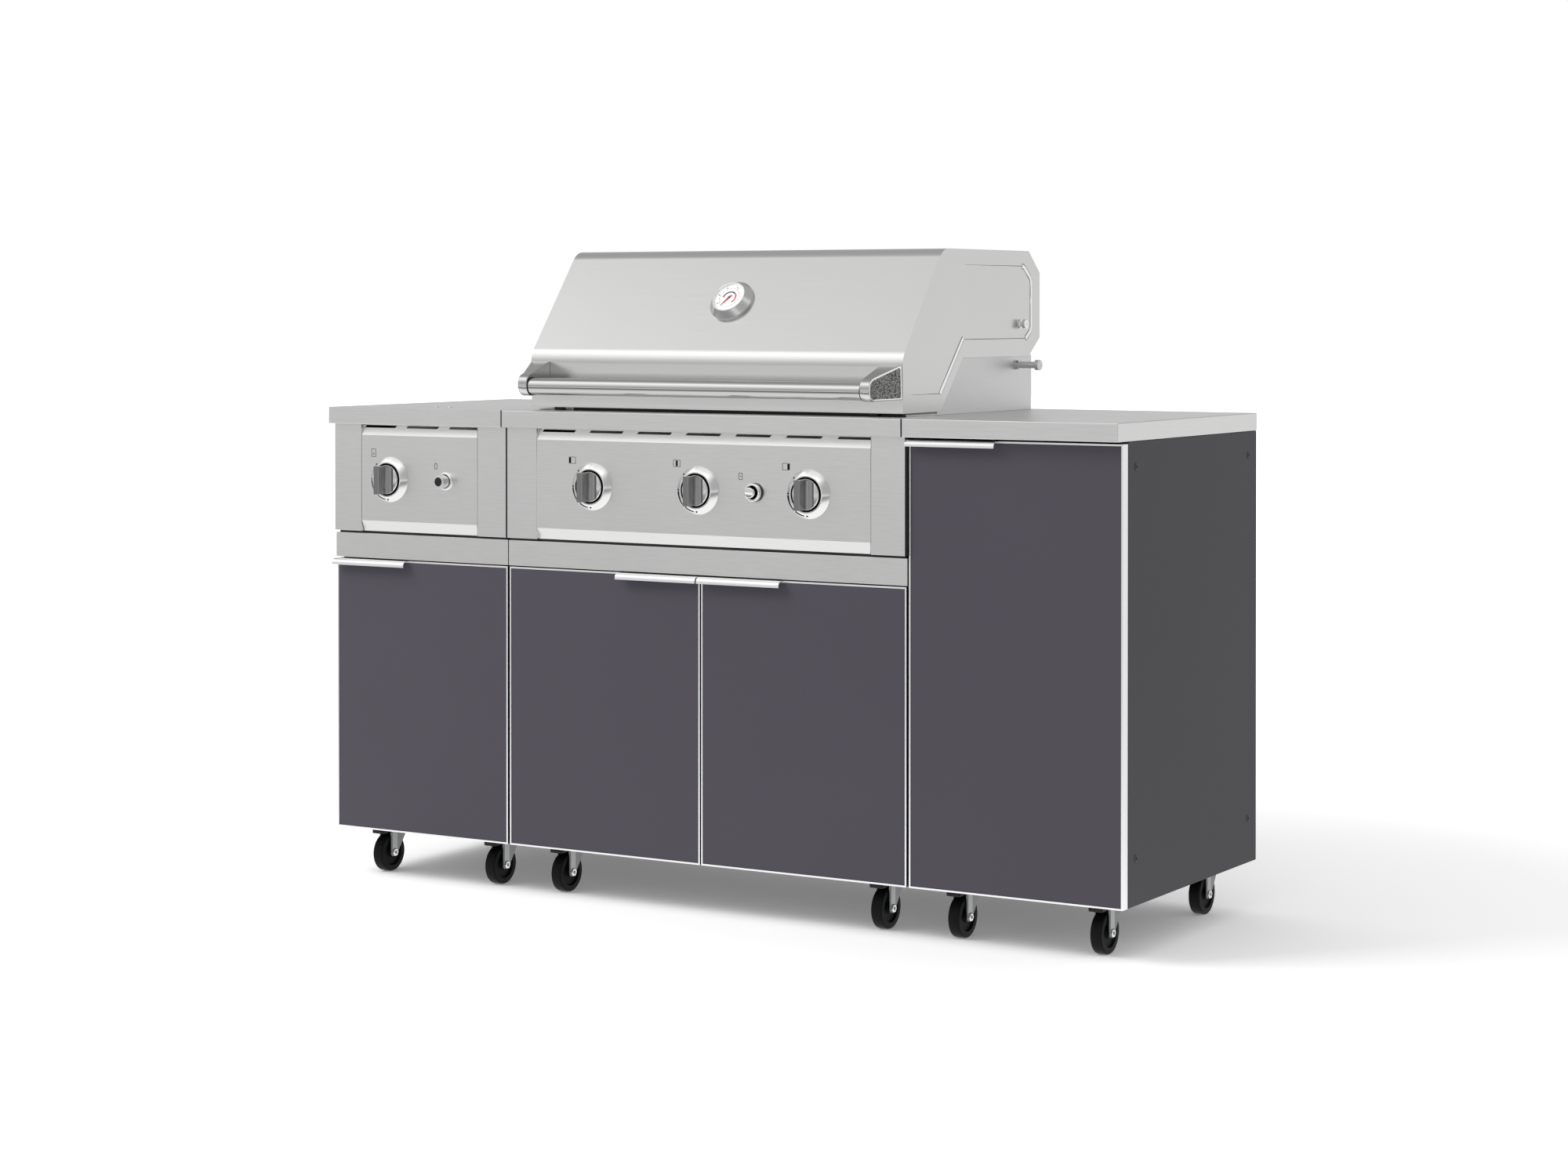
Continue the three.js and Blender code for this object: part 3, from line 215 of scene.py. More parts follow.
finishes = {
    "steel": brushedSteel("brushed_steel", 0.66, 0.81, 0.34, 0.06, (22, 22, 360)),
    "hoodSteel": brushedSteel("hood_steel", 0.62, 0.68, 0.24, 0.03, (10, 10, 800)),
    "barSteel": brushedSteel("bar_steel", 0.49, 0.53, 0.11, 0.02, (6, 900, 900)),
    "bracketSteel": brushedSteel("bracket_steel", 0.48, 0.56, 0.18, 0.03, (500, 9, 500)),
    "gripSteel": brushedSteel("grip_steel", 0.31, 0.38, 0.28, 0.03, (900, 900, 9), 0),
    "gripFrontShade": brushedSteel("grip_front_painted_shade", 0.21, 0.27, 0.3, 0.03, (900, 900, 9), 0),
    "bezelSteel": brushedSteel("bezel_steel", 0.75, 0.79, 0.2, 0.008, (90, 90, 90)),
    "bevelHighlightSteel": brushedSteel("bevel_painted_highlight", 0.84, 0.92, 0.42, 0.04, (12, 12, 650)),
    "plateSteel": brushedSteel("plate_steel", 0.65, 0.73, 0.44, 0.05, (12, 12, 650), 0),
    "slate": powderCoat("slate_paint", (0.075, 0.069, 0.088), (0.088, 0.081, 0.101), 0.42),
    "carcass": powderCoat("slate_carcass", (0.051, 0.049, 0.057), (0.058, 0.056, 0.065), 0.5),
    "aluminium": polished("aluminium_edge", (0.93, 0.93, 0.935), 0.36),
    "chrome": polished("polished_metal", (0.88, 0.88, 0.875), 0.09),
    "satin": polished("satin_metal", (0.70, 0.70, 0.695), 0.2),
    "zinc": polished("zinc_steel", (0.74, 0.75, 0.76), 0.25),
    "yokeShadeSteel": polished("yoke_painted_shade", (0.21, 0.213, 0.216), 0.4),
    "legShadeSteel": polished("leg_painted_shade", (0.33, 0.333, 0.336), 0.34),
    "collarSteel": polished("collar_steel", (0.62, 0.62, 0.615), 0.14),
    "embossShade": polished("emboss_painted_shade", (0.03, 0.03, 0.03), 0.5),
    "castIron": roughCast("cast_iron", (0.022, 0.022, 0.023), 0.55, metallic=0.2, depth=0.0006, strength=0.4),
    "castBracket": speckled("cast_bracket", (0.045, 0.045, 0.044), (0.46, 0.46, 0.45), 0.42, 430.0),
    "rubber": roughCast("caster_rubber", (0.002, 0.002, 0.0022), 0.6, 500.0, 0.0, 0.0003, 0.2, 0.12),
    "black": roughCast("black_plastic", (0.008, 0.008, 0.009), 0.5, depth=0.0002, strength=0.2),
    "ink": roughCast("printed_ink", (0.006, 0.006, 0.007), 0.8, gloss=0.05),
    "redInk": roughCast("red_ink", (0.48, 0.012, 0.035), 0.7, gloss=0.1),
    "paleInk": roughCast("pale_ink", (0.30, 0.30, 0.30), 0.7, gloss=0.1),
    "dialWhite": roughCast("dial_white", (0.80, 0.80, 0.80), 0.6, 400.0, strength=0.05),
    "lens": lensFinish("gauge_lens", 0.03),
}
print("finishes:", len(finishes))


def newShape():
    return bmesh.new()


def makePiece(name, shape, finish, body, slot, bevel=0.0, steps=2, crease=32, replaced=()):
    bmesh.ops.recalc_face_normals(shape, faces=shape.faces)
    bmesh.ops.transform(shape, matrix=toFrame, verts=shape.verts)
    mesh = bpy.data.meshes.new(name)
    shape.to_mesh(mesh)
    shape.free()
    return dress(name, mesh, finish, body, bevel, steps, crease, replaced)


def breakEdges(piece, width, steps, angle):
    # large flat faces stay flat beside their broken edges
    edge = piece.modifiers.new("edge", "BEVEL")
    edge.width = width * mm
    edge.segments = steps
    edge.limit_method = "ANGLE"
    edge.angle_limit = math.radians(angle)
    normals = piece.modifiers.new("normals", "WEIGHTED_NORMAL")
    normals.weight = 100
    normals.keep_sharp = True


def thicken(piece, sheet):
    # a shell drawn by its outer faces grows inward
    wall = piece.modifiers.new("sheet", "SOLIDIFY")
    wall.thickness = sheet * mm
    wall.offset = -1
    wall.use_even_offset = True


def repaint(piece, finish, picked):
    # a second finish on the faces whose normal is picked
    piece.data.materials.append(finishes[finish])
    for polygon in piece.data.polygons:
        if picked(polygon.normal):
            polygon.material_index = 1


def dress(name, mesh, finish, body, bevel=0.0, steps=2, crease=32, replaced=()):
    mesh.materials.clear()
    mesh.materials.append(finishes[finish])
    mesh.polygons.foreach_set("use_smooth", [True] * len(mesh.polygons))
    piece = bpy.data.objects.new(name, mesh)
    bpy.context.scene.collection.objects.link(piece)
    if bevel:
        breakEdges(piece, bevel, steps, 25)
    else:
        mesh.set_sharp_from_angle(angle=math.radians(crease))
    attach(piece, body)
    if replaced:
        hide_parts(*replaced)
    return piece


def rounded(corners, steps=6):
    # corners are (u, v) or (u, v, radius)
    points = []
    for i, corner in enumerate(corners):
        here = Vector(corner[:2])
        radius = corner[2] if len(corner) > 2 else 0
        if not radius:
            points.append(here)
            continue
        back = (Vector(corners[i - 1][:2]) - here).normalized()
        ahead = (Vector(corners[(i + 1) % len(corners)][:2]) - here).normalized()
        half = back.angle(ahead) / 2
        centre = here + (back + ahead).normalized() * radius / math.sin(half)
        first = here + back * radius / math.tan(half) - centre
        last = here + ahead * radius / math.tan(half) - centre
        start = math.atan2(first.y, first.x)
        turn = (math.atan2(last.y, last.x) - start + math.pi) % math.tau - math.pi
        for k in range(steps + 1):
            angle = start + turn * k / steps
            points.append(centre + Vector((math.cos(angle), math.sin(angle))) * radius)
    return points


layers = {
    "x": lambda u, v, w: Vector((w, u, v)),
    "y": lambda u, v, w: Vector((u, w, v)),
    "z": lambda u, v, w: Vector((u, v, w)),
}


def prism(shape, outline, along, span, cuts=()):
    # an outline carried along one axis; an end is a number or a rule of the outline's first coordinate
    place = layers[along]
    axis = "xyz".index(along)
    first = 1 if along == "x" else 0
    flat = [shape.faces.new([shape.verts.new(place(u, v, 0)) for u, v in outline])]
    for cut in cuts:
        geometry = flat + [e for f in flat for e in f.edges] + [p for f in flat for p in f.verts]
        found = bmesh.ops.bisect_plane(
            shape, geom=list(set(geometry)), plane_co=place(cut, 0, 0), plane_no=place(1, 0, 0), dist=1e-4
        )
        flat = [g for g in found["geom"] if isinstance(g, bmesh.types.BMFace)]
    lower = {p for f in flat for p in f.verts}
    grown = bmesh.ops.extrude_face_region(shape, geom=flat, use_keep_orig=True)
    upper = [g for g in grown["geom"] if isinstance(g, bmesh.types.BMVert)]
    for points, end in ((lower, span[0]), (upper, span[1])):
        for point in points:
            point.co[axis] = end(point.co[first]) if callable(end) else end


def block(shape, x, y, z):
    prism(shape, [(x[0], y[0]), (x[1], y[0]), (x[1], y[1]), (x[0], y[1])], "z", z)


def standOn(point, direction):
    # local z along the direction
    return Matrix.Translation(point) @ direction.to_track_quat("Z", "Y").to_matrix().to_4x4()


def turned(shape, profile, place, sides=64, loop=False):
    # profile lists (radius, height along the axis)
    rings = []
    for radius, along in profile:
        turns = [math.tau * k / sides for k in range(sides if radius > 1e-6 else 1)]
        points = [Vector((radius * math.cos(t), radius * math.sin(t), along)) for t in turns]
        rings.append([shape.verts.new(place @ point) for point in points])
    pairs = list(zip(rings, rings[1:])) + ([(rings[-1], rings[0])] if loop else [])
    for lower, upper in pairs:
        for k in range(sides):
            ring = [lower[k % len(lower)], lower[(k + 1) % len(lower)]]
            ring += [upper[(k + 1) % len(upper)], upper[k % len(upper)]]
            corners = list(dict.fromkeys(ring))
            if len(corners) > 2:
                shape.faces.new(corners)


def rod(shape, radius, low, high, place, sides=32):
    turned(shape, [(0, low), (radius, low), (radius, high), (0, high)], place, sides)


def turnedPiece(name, profile, place, sides, look, loop=False, **more):
    # look holds the finish, the body and the slot; the slot is not used
    shape = newShape()
    turned(shape, profile, place, sides, loop)
    return makePiece(name, shape, *look, **more)


def smoothArc(centre, radius, fromAngle, toAngle, steps=5):
    # points of a profile's corner, angles in degrees
    turns = [math.radians(fromAngle + (toAngle - fromAngle) * k / steps) for k in range(steps + 1)]
    return [(centre[0] + radius * math.cos(t), centre[1] + radius * math.sin(t)) for t in turns]


def lofted(shape, rings):
    # a skin over four-cornered rings, closed at both ends
    for first, second in zip(rings, rings[1:]):
        for n in range(4):
            shape.faces.new((first[n - 1], first[n], second[n], second[n - 1]))
    shape.faces.new(rings[0])
    shape.faces.new(rings[-1])


def arcStrip(shape, toPoint, angles, radius, widths, levels, steps):
    # a thin strip along an arc; toPoint sets an angle, a radius and a height in place
    rings = []
    for k in range(steps + 1):
        angle = angles[0] + (angles[1] - angles[0]) * k / steps
        half = (widths[0] + (widths[1] - widths[0]) * k / steps) / 2
        corners = [(-half, levels[0]), (half, levels[0]), (half, levels[1]), (-half, levels[1])]
        rings.append([shape.verts.new(toPoint(angle, radius + r, h)) for r, h in corners])
    lofted(shape, rings)


def mirrored(shape, middle):
    for vertex in shape.verts:
        vertex.co.x = middle * 2 - vertex.co.x


def softened(node, finish, body, bevel, steps=2, moved=None):
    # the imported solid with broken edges, in the node's place; moved shifts its lowest and highest faces
    shape = newShape()
    shape.from_mesh(nodes[node].data)
    bmesh.ops.remove_doubles(shape, verts=shape.verts, dist=1e-5)
    bmesh.ops.dissolve_limit(shape, angle_limit=math.radians(0.6), verts=shape.verts, edges=shape.edges)
    for axis, shifts in (moved or {}).items():
        k = "xyz".index(axis)
        ends = [pick(v.co[k] for v in shape.verts) for pick in (min, max)]
        for vertex in shape.verts:
            for end, shift in zip(ends, shifts):
                if abs(vertex.co[k] - end) < 0.1 * mm:
                    vertex.co[k] += shift * mm
                    break
    mesh = bpy.data.meshes.new(node + "_soft")
    shape.to_mesh(mesh)
    shape.free()
    return dress(node + "_soft", mesh, finish, body, bevel, steps, replaced=[node])


def repeatTree(name, turning):
    # copies of an element along a row, or turned about one point
    tree = bpy.data.node_groups.new(name, "GeometryNodeTree")
    for label, kind in (("Geometry", "Geometry"), ("Count", "Int"), ("Step", "Vector"), ("Finish", "Material")):
        tree.interface.new_socket(label, in_out="INPUT", socket_type="NodeSocket" + kind)
    tree.interface.new_socket("Geometry", in_out="OUTPUT", socket_type="NodeSocketGeometry")
    sheet = Sheet(tree)
    entry = sheet.add("NodeGroupInput")
    element, count, step, finish = (Wire(sheet, entry.socket.node.outputs[i]) for i in range(4))
    index = sheet.add("GeometryNodeInputIndex")
    progress = sheet.add("ShaderNodeVectorMath", {"operation": "SCALE"}, {0: step, "Scale": index})
    row = sheet.add("GeometryNodeMeshLine", None, {"Count": count, "Offset": (0, 0, 0) if turning else step})
    sockets = {"Points": row, "Instance": element}
    if turning:
        sockets["Rotation"] = progress
    copies = sheet.add("GeometryNodeInstanceOnPoints", None, sockets)
    solid = sheet.add("GeometryNodeRealizeInstances", None, {0: copies})
    painted = sheet.add("GeometryNodeSetMaterial", None, {"Geometry": solid, "Material": finish})
    sheet.add("NodeGroupOutput", None, {0: painted})
    return tree


rowTree = repeatTree("row_of_pieces", False)
ringTree = repeatTree("ring_of_pieces", True)


def repeated(name, shape, tree, count, step, finish, place, body, crease=32):
    # the element is drawn about its own origin in millimetres, then set in place
    bmesh.ops.recalc_face_normals(shape, faces=shape.faces)
    mesh = bpy.data.meshes.new(name)
    shape.to_mesh(mesh)
    shape.free()
    element = bpy.data.objects.new(name + "_element", mesh)
    bpy.context.scene.collection.objects.link(element)
    grown = element.modifiers.new("repeat", "NODES")
    grown.node_group = tree
    values = {"Count": count, "Step": step, "Finish": finishes[finish]}
    for socket in tree.interface.items_tree:
        if socket.in_out == "INPUT" and socket.name in values:
            grown[socket.identifier] = values[socket.name]
    bpy.context.view_layer.update()
    final = bpy.data.meshes.new_from_object(element.evaluated_get(bpy.context.evaluated_depsgraph_get()))
    final.name = name
    bpy.data.objects.remove(element)
    final.transform(toFrame @ Matrix.Translation(place))
    return dress(name, final, finish, body, crease=crease)


# cabinets, worktops and rails: the softened solids, with broken edges and narrow seams between the modules
softEdges = {
    "cabinet": 1.0, "worktop": 1.7, "rail": 1.3, "doorPanel": 0.6, "lid": 1.0, "tray": 0.6, "pan": 0.8, "plate": 0.4,
    "grate": 1.2, "boltEnds": (5, -5),
}
sideBolt = {
    "left": 1.5, "right": 1708.5, "rows": (177, 850), "front": 77, "step": 495, "head": 1.3,
    "heads": [(0, -2), (7, -2), (7, 0.5), (6.4, 0.9), (3.4, 1.3), (2.6, 1.3), (2.4, 0.4), (0, 0.4)],
    "sockets": [(0, -1), (2.5, -1), (2.5, 0.6), (0, 0.6)],
}
seams = {"worktop": 0.9, "rail": 0.7}
cabinetSides = {"side_burner": (sideBolt["head"], 0), "grill": (0, 0), "storage": (0, -sideBolt["head"])}
for module, shifts in cabinetSides.items():
    softened(module + "_cabinet", "carcass", "island", softEdges["cabinet"], moved={"x": shifts})
for side, outward in (("left", -1), ("right", 1)):
    # painted shade: black discs fill the heads' sockets so they read dark
    for part, finish in (("heads", "carcass"), ("sockets", "black")):
        shape = newShape()
        for z in sideBolt["rows"]:
            turned(shape, sideBolt[part], standOn((0, 0, z), rightward * outward), 32)
        repeated(
            f"{side}_bolt_{part}", shape, rowTree, 2, (0, sideBolt["step"], 0), finish,
            (sideBolt[side], sideBolt["front"], 0), "island",
        )
gap = seams["worktop"]
for module, shifts in (("side_burner", (0, -gap)), ("grill", (gap, -gap)), ("storage", (gap, 0))):
    softened(module + "_worktop", "steel", "island", softEdges["worktop"], moved={"x": shifts})
for module, shifts in (("side_burner", (0, -seams["rail"])), ("grill", (seams["rail"], 0))):
    softened(module + "_rail", "steel", "island", softEdges["rail"], moved={"x": shifts})
softened("side_burner_lid", "steel", "side_burner_lid", softEdges["lid"])
softened("grease_tray", "steel", "grease_tray", softEdges["tray"])
softened("side_burner_pan", "steel", "island", softEdges["pan"])
lidStud = {
    "xs": (193.5, 226.5), "y": 97, "base": 925,
    "profile": [(0, 0), (4.6, 0), (4.6, 2.6), (3.9, 3.6), (2.2, 4.2), (0, 4.4)],
}
shape = newShape()
for x in lidStud["xs"]:
    turned(shape, lidStud["profile"], Matrix.Translation((x, lidStud["y"], lidStud["base"])), 32)
makePiece("side_burner_lid_studs", shape, "chrome", "side_burner_lid", "stainless")

# black strips: those under the panels and the hood are painted shade, dark sheets that make those gaps read as
# shadow; those between the modules are dark joints
shadeAndJointStrips = {
    "underSidePanel": ((9, 417), (25.6, 44), (678.6, 682.8)),
    "underGrillPanel": ((424, 1287), (25.6, 44), (678.6, 682.8)),
    "underHood": ((540, 1256), (70, 78), (927.2, 932.6)),
    "leftWorktops": ((419.2, 420.8), (2.2, 20), (895, 926)),
    "rightWorktops": ((1289.2, 1290.8), (2.2, 20), (895, 926)),
    "panels": ((418.4, 421.6), (19.4, 44), (683.2, 893)),
    "rails": ((419.4, 420.6), (26, 44), (631, 678)),
    "storageDoor": ((1289.15, 1291), (19.4, 44), (683.2, 893)),
}
shape = newShape()
for x, y, z in shadeAndJointStrips.values():
    block(shape, x, y, z)
makePiece("shade_and_joint_strips", shape, "black", "island", "slate_paint")
print("cabinets and worktops done")

doors = {
    "side_burner_door": {"x": (2.5, 417.5), "top": 627.5, "pullLeft": True},
    "left_grill_door": {"x": (422.5, 853.5), "top": 627.5, "pullLeft": False},
    "right_grill_door": {"x": (856.5, 1287.5), "top": 627.5, "pullLeft": True},
    "storage_door": {"x": (1292.5, 1707.5), "top": 890, "pullLeft": True},
}
doorSize = {"front": 25, "thickness": 21, "bottom": 95, "rim": 3.3, "panelGrows": 1.6, "bevel": 0.4}
pullSize = {"length": 177, "reach": 18, "drop": 12, "sheet": 1.8, "bend": 9, "root": 4, "edge": 0.4}
gapShadeSize = {"x": (-0.1, 0.35), "y": (25.7, 45.6), "inset": 0.6}


def doorRim(x, top):
    shape = newShape()
    loops = []
    for y in (doorSize["front"], doorSize["front"] + doorSize["thickness"]):
        for inset in (0, doorSize["rim"]):
            left, right, low, high = x[0] + inset, x[1] - inset, doorSize["bottom"] + inset, top - inset
            corners = ((left, low), (right, low), (right, high), (left, high))
            loops.append([shape.verts.new((u, y, v)) for u, v in corners])
    for k in range(4):
        n = (k + 1) % 4
        for a, b in ((0, 1), (2, 3), (0, 2), (1, 3)):
            shape.faces.new((loops[a][k], loops[a][n], loops[b][n], loops[b][k]))
    return shape


def pullLip(x, top):
    shape = newShape()
    root, lip = doorSize["front"] + pullSize["root"], doorSize["front"] - pullSize["reach"]
    sheet, bend, low = pullSize["sheet"], pullSize["bend"], top - pullSize["drop"]
    prism(shape, rounded([
        (root, top), (lip, top, bend), (lip, low), (lip + sheet, low), (lip + sheet, top - sheet, bend - sheet),
        (root, top - sheet),
    ], 8), "x", x)
    return shape


for name, door in doors.items():
    x, top, grow = door["x"], door["top"], doorSize["panelGrows"]
    pullX = (x[0], x[0] + pullSize["length"]) if door["pullLeft"] else (x[1] - pullSize["length"], x[1])
    makePiece(
        name + "_rim", doorRim(x, top), "aluminium", name, "aluminium_edge", doorSize["bevel"],
        replaced=[name + "_frame"],
    )
    makePiece(name + "_pull", pullLip(pullX, top), "aluminium", name, "aluminium_edge", pullSize["edge"])
    # painted shade: a black strip on the door's right edge darkens the narrow gap beside the next door
    if name != "storage_door":
        shape = newShape()
        block(
            shape, (x[1] + gapShadeSize["x"][0], x[1] + gapShadeSize["x"][1]), gapShadeSize["y"],
            (doorSize["bottom"] + gapShadeSize["inset"], top - gapShadeSize["inset"]),
        )
        makePiece(name + "_seal", shape, "black", name, "slate_paint")
    softened(
        name + "_panel", "slate", name, softEdges["doorPanel"],
        moved={"x": (-grow, grow), "z": (-grow, grow)},
    )
print("doors done")

# control panels: sheets with a bevelled field between two plain columns, and vent slots in the upper bevel
panelSize = {
    "front": 18, "back": 46, "bottom": 683, "top": 893.7, "bevelHeight": 21.5, "bevelDepth": 8, "sheet": 2,
    "slotHeight": 4.6, "slotDrop": 2, "slotSlant": 3, "slotCorner": 0.8, "seam": 1.8, "joint": 0.5, "edge": 0.6,
    "sharp": 12,
}
panels = {
    "side_burner": {"x": (0, 420), "column": 69, "first": 72.9, "pitch": 102.9, "width": 77.8, "slots": 3},
    "grill": {"x": (420, 1290), "column": 71, "first": 500.3, "pitch": 107.85, "width": 76.3, "slots": 7},
}
controlHeight = 786.5


def atControl(x):
    # on a panel's face, with z towards the viewer
    return standOn((x, panelSize["front"], controlHeight), front)


def holedFace(shape, outer, holes, toPoint):
    edges = []
    for loop in [outer, *holes]:
        points = [shape.verts.new(toPoint(u, v)) for u, v in loop]
        edges += [shape.edges.new((points[k - 1], points[k])) for k in range(len(points))]
    bmesh.ops.triangle_fill(shape, use_beauty=True, use_dissolve=False, edges=edges)


def panelShell(panel):
    shape = newShape()
    size = panelSize
    x0, x1 = panel["x"][0] + size["seam"], panel["x"][1] - size["seam"]
    xa, xb = panel["x"][0] + panel["column"], panel["x"][1] - panel["column"]
    near, far, deep = size["front"], size["back"], size["front"] + size["bevelDepth"]
    low, high = size["bottom"], size["top"]
    lowFace, highFace = low + size["bevelHeight"], high - size["bevelHeight"]

    def face(*points):
        shape.faces.new([shape.verts.new(p) for p in points])

    gap = size["joint"]
    for left, right, gusset in ((x0, xa - gap, xa - gap), (xb + gap, x1, xb + gap)):
        face((left, near, low), (right, near, low), (right, near, high), (left, near, high))
        for edge, turn in ((high, highFace), (low, lowFace)):
            face((gusset, near, edge), (gusset, deep, edge), (gusset, near, turn))
            face((left, near, edge), (right, near, edge), (right, far, edge), (left, far, edge))
    for x in (x0, x1):
        face((x, near, low), (x, near, high), (x, far, high), (x, far, low))
    for edge in (high, low):
        face((xa, deep, edge), (xb, deep, edge), (xb, far, edge), (xa, far, edge))
    face((xa, near, lowFace), (xb, near, lowFace), (xb, near, highFace), (xa, near, highFace))
    face((xa, near, lowFace), (xb, near, lowFace), (xb, deep, low), (xa, deep, low))
    tall, slant, corner, top = size["slotHeight"], size["slotSlant"], size["slotCorner"], high - size["slotDrop"]
    slots = []
    for k in range(panel["slots"]):
        start = panel["first"] + k * panel["pitch"]
        end = min(start + panel["width"], xb - 1)
        slots.append([
            (start, top - tall * 0.75), (start + corner, top - tall), (end - slant, top - tall),
            (end, top - tall * 0.25), (end - corner, top), (start + slant, top),
        ])
    holedFace(
        shape, [(xa, highFace), (xb, highFace), (xb, high), (xa, high)], slots,
        lambda u, v: (u, near + size["bevelDepth"] * (v - highFace) / size["bevelHeight"], v),
    )
    bmesh.ops.remove_doubles(shape, verts=shape.verts, dist=0.01)
    return shape


for name, panel in panels.items():
    piece = makePiece(
        name + "_panel_sheet", panelShell(panel), "steel", "island", "stainless", crease=panelSize["sharp"],
        replaced=[name + "_control_panel"],
    )
    # painted highlight: the upward-facing upper bevel takes a brighter copy of the sheet's steel
    repaint(piece, "bevelHighlightSteel", lambda normal: normal.z > 0.2 and normal.y < -0.5)
    thicken(piece, panelSize["sheet"])
    breakEdges(piece, panelSize["edge"], 2, panelSize["sharp"])
# bezels, knobs and buttons; heights count from the panel's face towards the viewer
bezelSize = {"outer": 45, "inner": 31.7, "proud": 11, "land": 2.5, "rim": 0.8, "seat": -0.3}
knobSize = {
    "radius": 28.1, "back": 1.5, "face": 14, "spindle": 5, "spindleEnd": 60,
    "cap": [(0, 2.6), (27.6, 2.6), (28.1, 2.1), (28.1, 1.9), (27.8, 1.6), (26.9, 0.6), (26.5, 0.4), (0, 0.3)],
    "skirtTop": 11.6, "skirtGap": 0.6, "grip": 12.4, "gripHalf": 27.5, "gripFront": 44, "cove": 11, "edge": 1.4,
    "cuts": 15, "cutStep": 2.5,
}
recessShadeSize = {"floor": 0.2, "wall": 0.4, "width": 6, "knobGap": 0.1, "knobRise": 10.3}
knobBodies = {139: "side_burner_knob", 619: "left_burner_knob", 855: "middle_burner_knob", 1091: "right_burner_knob"}


def bezelProfile():
    outer, rim, proud, seat = (bezelSize[key] for key in ("outer", "rim", "proud", "seat"))
    inner, head = bezelSize["inner"], bezelSize["inner"] + bezelSize["land"]
    return [
        (outer, seat), (outer, rim), *smoothArc((outer - 1, rim), 1, 0, 60, 3), (head + 0.5, proud - 0.3),
        (head - 0.3, proud), (inner + 0.4, proud), (inner, proud - 0.4), (inner, seat),
    ]


def capShape(x):
    shape = newShape()
    turned(shape, [(radius, knobSize["face"] - drop) for radius, drop in knobSize["cap"]], atControl(x), 96)
    rod(shape, knobSize["spindle"], -knobSize["spindleEnd"], knobSize["back"] + 1, atControl(x), 24)
    return shape


def skirtProfile():
    # the dark body under a knob's cap
    inner, back, gap = knobSize["radius"] - knobSize["skirtGap"], knobSize["back"], knobSize["skirtGap"]
    top = knobSize["skirtTop"]
    return [(0, back), (inner - gap, back), (inner, back + gap), (inner, top), (0, top)]


def gripShape(x):
    # a fin with coved roots, cut back to a round outline
    half, cove, edge = knobSize["grip"] / 2, knobSize["cove"], knobSize["edge"]
    face, tip = panelSize["front"] - knobSize["face"], panelSize["front"] - knobSize["gripFront"]
    foot = half + cove + 1
    outline = rounded([
        (-foot, face + 2), (foot, face + 2), (foot, face + 0.2), (half, face, cove), (half, tip, edge),
        (-half, tip, edge), (-half, face, cove), (-foot, face + 0.2),
    ], 7)

    def rise(u):
        return math.sqrt(max(knobSize["gripHalf"] ** 2 - u ** 2, 0))

    middle = (knobSize["cuts"] - 1) / 2
    cuts = [(k - middle) * knobSize["cutStep"] for k in range(knobSize["cuts"])]
    shape = newShape()
    prism(shape, outline, "z", (lambda u: controlHeight - rise(u), lambda u: controlHeight + rise(u)), cuts)
    for vertex in shape.verts:
        vertex.co.x += x
    return shape


def recessShadeProfile(outer, rise):
    # painted shade: a black wall and floor in the gap round a knob or a button, so the gap reads dark
    floor, wall, width = recessShadeSize["floor"], recessShadeSize["wall"], recessShadeSize["width"]
    return [
        (outer, floor), (outer, rise), (outer - wall, rise), (outer - wall, floor + wall),
        (outer - width, floor + wall), (outer - width, floor),
    ]


for x, body in knobBodies.items():
    fixed = ("island", "polished_metal")
    moving = (body, "polished_metal")
    turnedPiece(
        body.replace("knob", "bezel"), bezelProfile(), atControl(x), 96, ("bezelSteel", *fixed), True, crease=40,
    )
    # painted shade: a black liner darkens the gap inside each bezel
    turnedPiece(
        body.replace("knob", "liner"), recessShadeProfile(bezelSize["inner"] + recessShadeSize["knobGap"], recessShadeSize["knobRise"]),
        atControl(x), 64, ("black", *fixed), True,
    )
    makePiece(body + "_cap", capShape(x), "satin", *moving, crease=28, replaced=[body])
    turnedPiece(body + "_skirt", skirtProfile(), atControl(x), 64, ("black", *moving), crease=28)
    grip = makePiece(body + "_grip", gripShape(x), "gripSteel", *moving, crease=28)
    # painted shade: the grip's forward faces take a darker copy of its steel
    repaint(grip, "gripFrontShade", lambda normal: normal.y < -0.97)

# printed marks: a raised skin of ink on the panel sheet and on the bezels' cones
inkSize = {"lift": 0.2, "root": 0.3, "line": 0.8, "coneRoot": -0.4}
inkFrames = {
    "sideBurner": ((94.4, 104.2), (830.1, 845.2)), "sideSpark": ((248.7, 254.3), (809.6, 819.3)),
    "grillSpark": ((942.9, 950.2), (808.9, 821.0)),
}
inkSpots = {
    "sideBurner": ((98.2, 100.4), (834.6, 836.8)), "sideSpark": ((249.9, 253.1), (820.2, 821.2)),
    "grillSpark": ((945.7, 947.4), (814.1, 815.8)),
}
burnerIcons = {
    "centres": (573.3, 807.9, 1043.3), "half": 7.4, "z": (829, 841), "pitch": 4.9, "cell": 2.1, "inset": 0.8,
}
markRings = {
    "crescent": {"angles": (184, 226), "radius": 40.6, "widths": (8.2, 3.0)},
    "tail": {"angles": (232, 262), "radius": 39.4, "widths": (3.6, 1.8)},
    "dash": {"angles": (177.6, 181.6), "radius": 39.6, "widths": (8.6, 8.6)},
}
markDots = {"low": (271, 39.0, 1.7), "high": (133, 39.8, 1.7)}
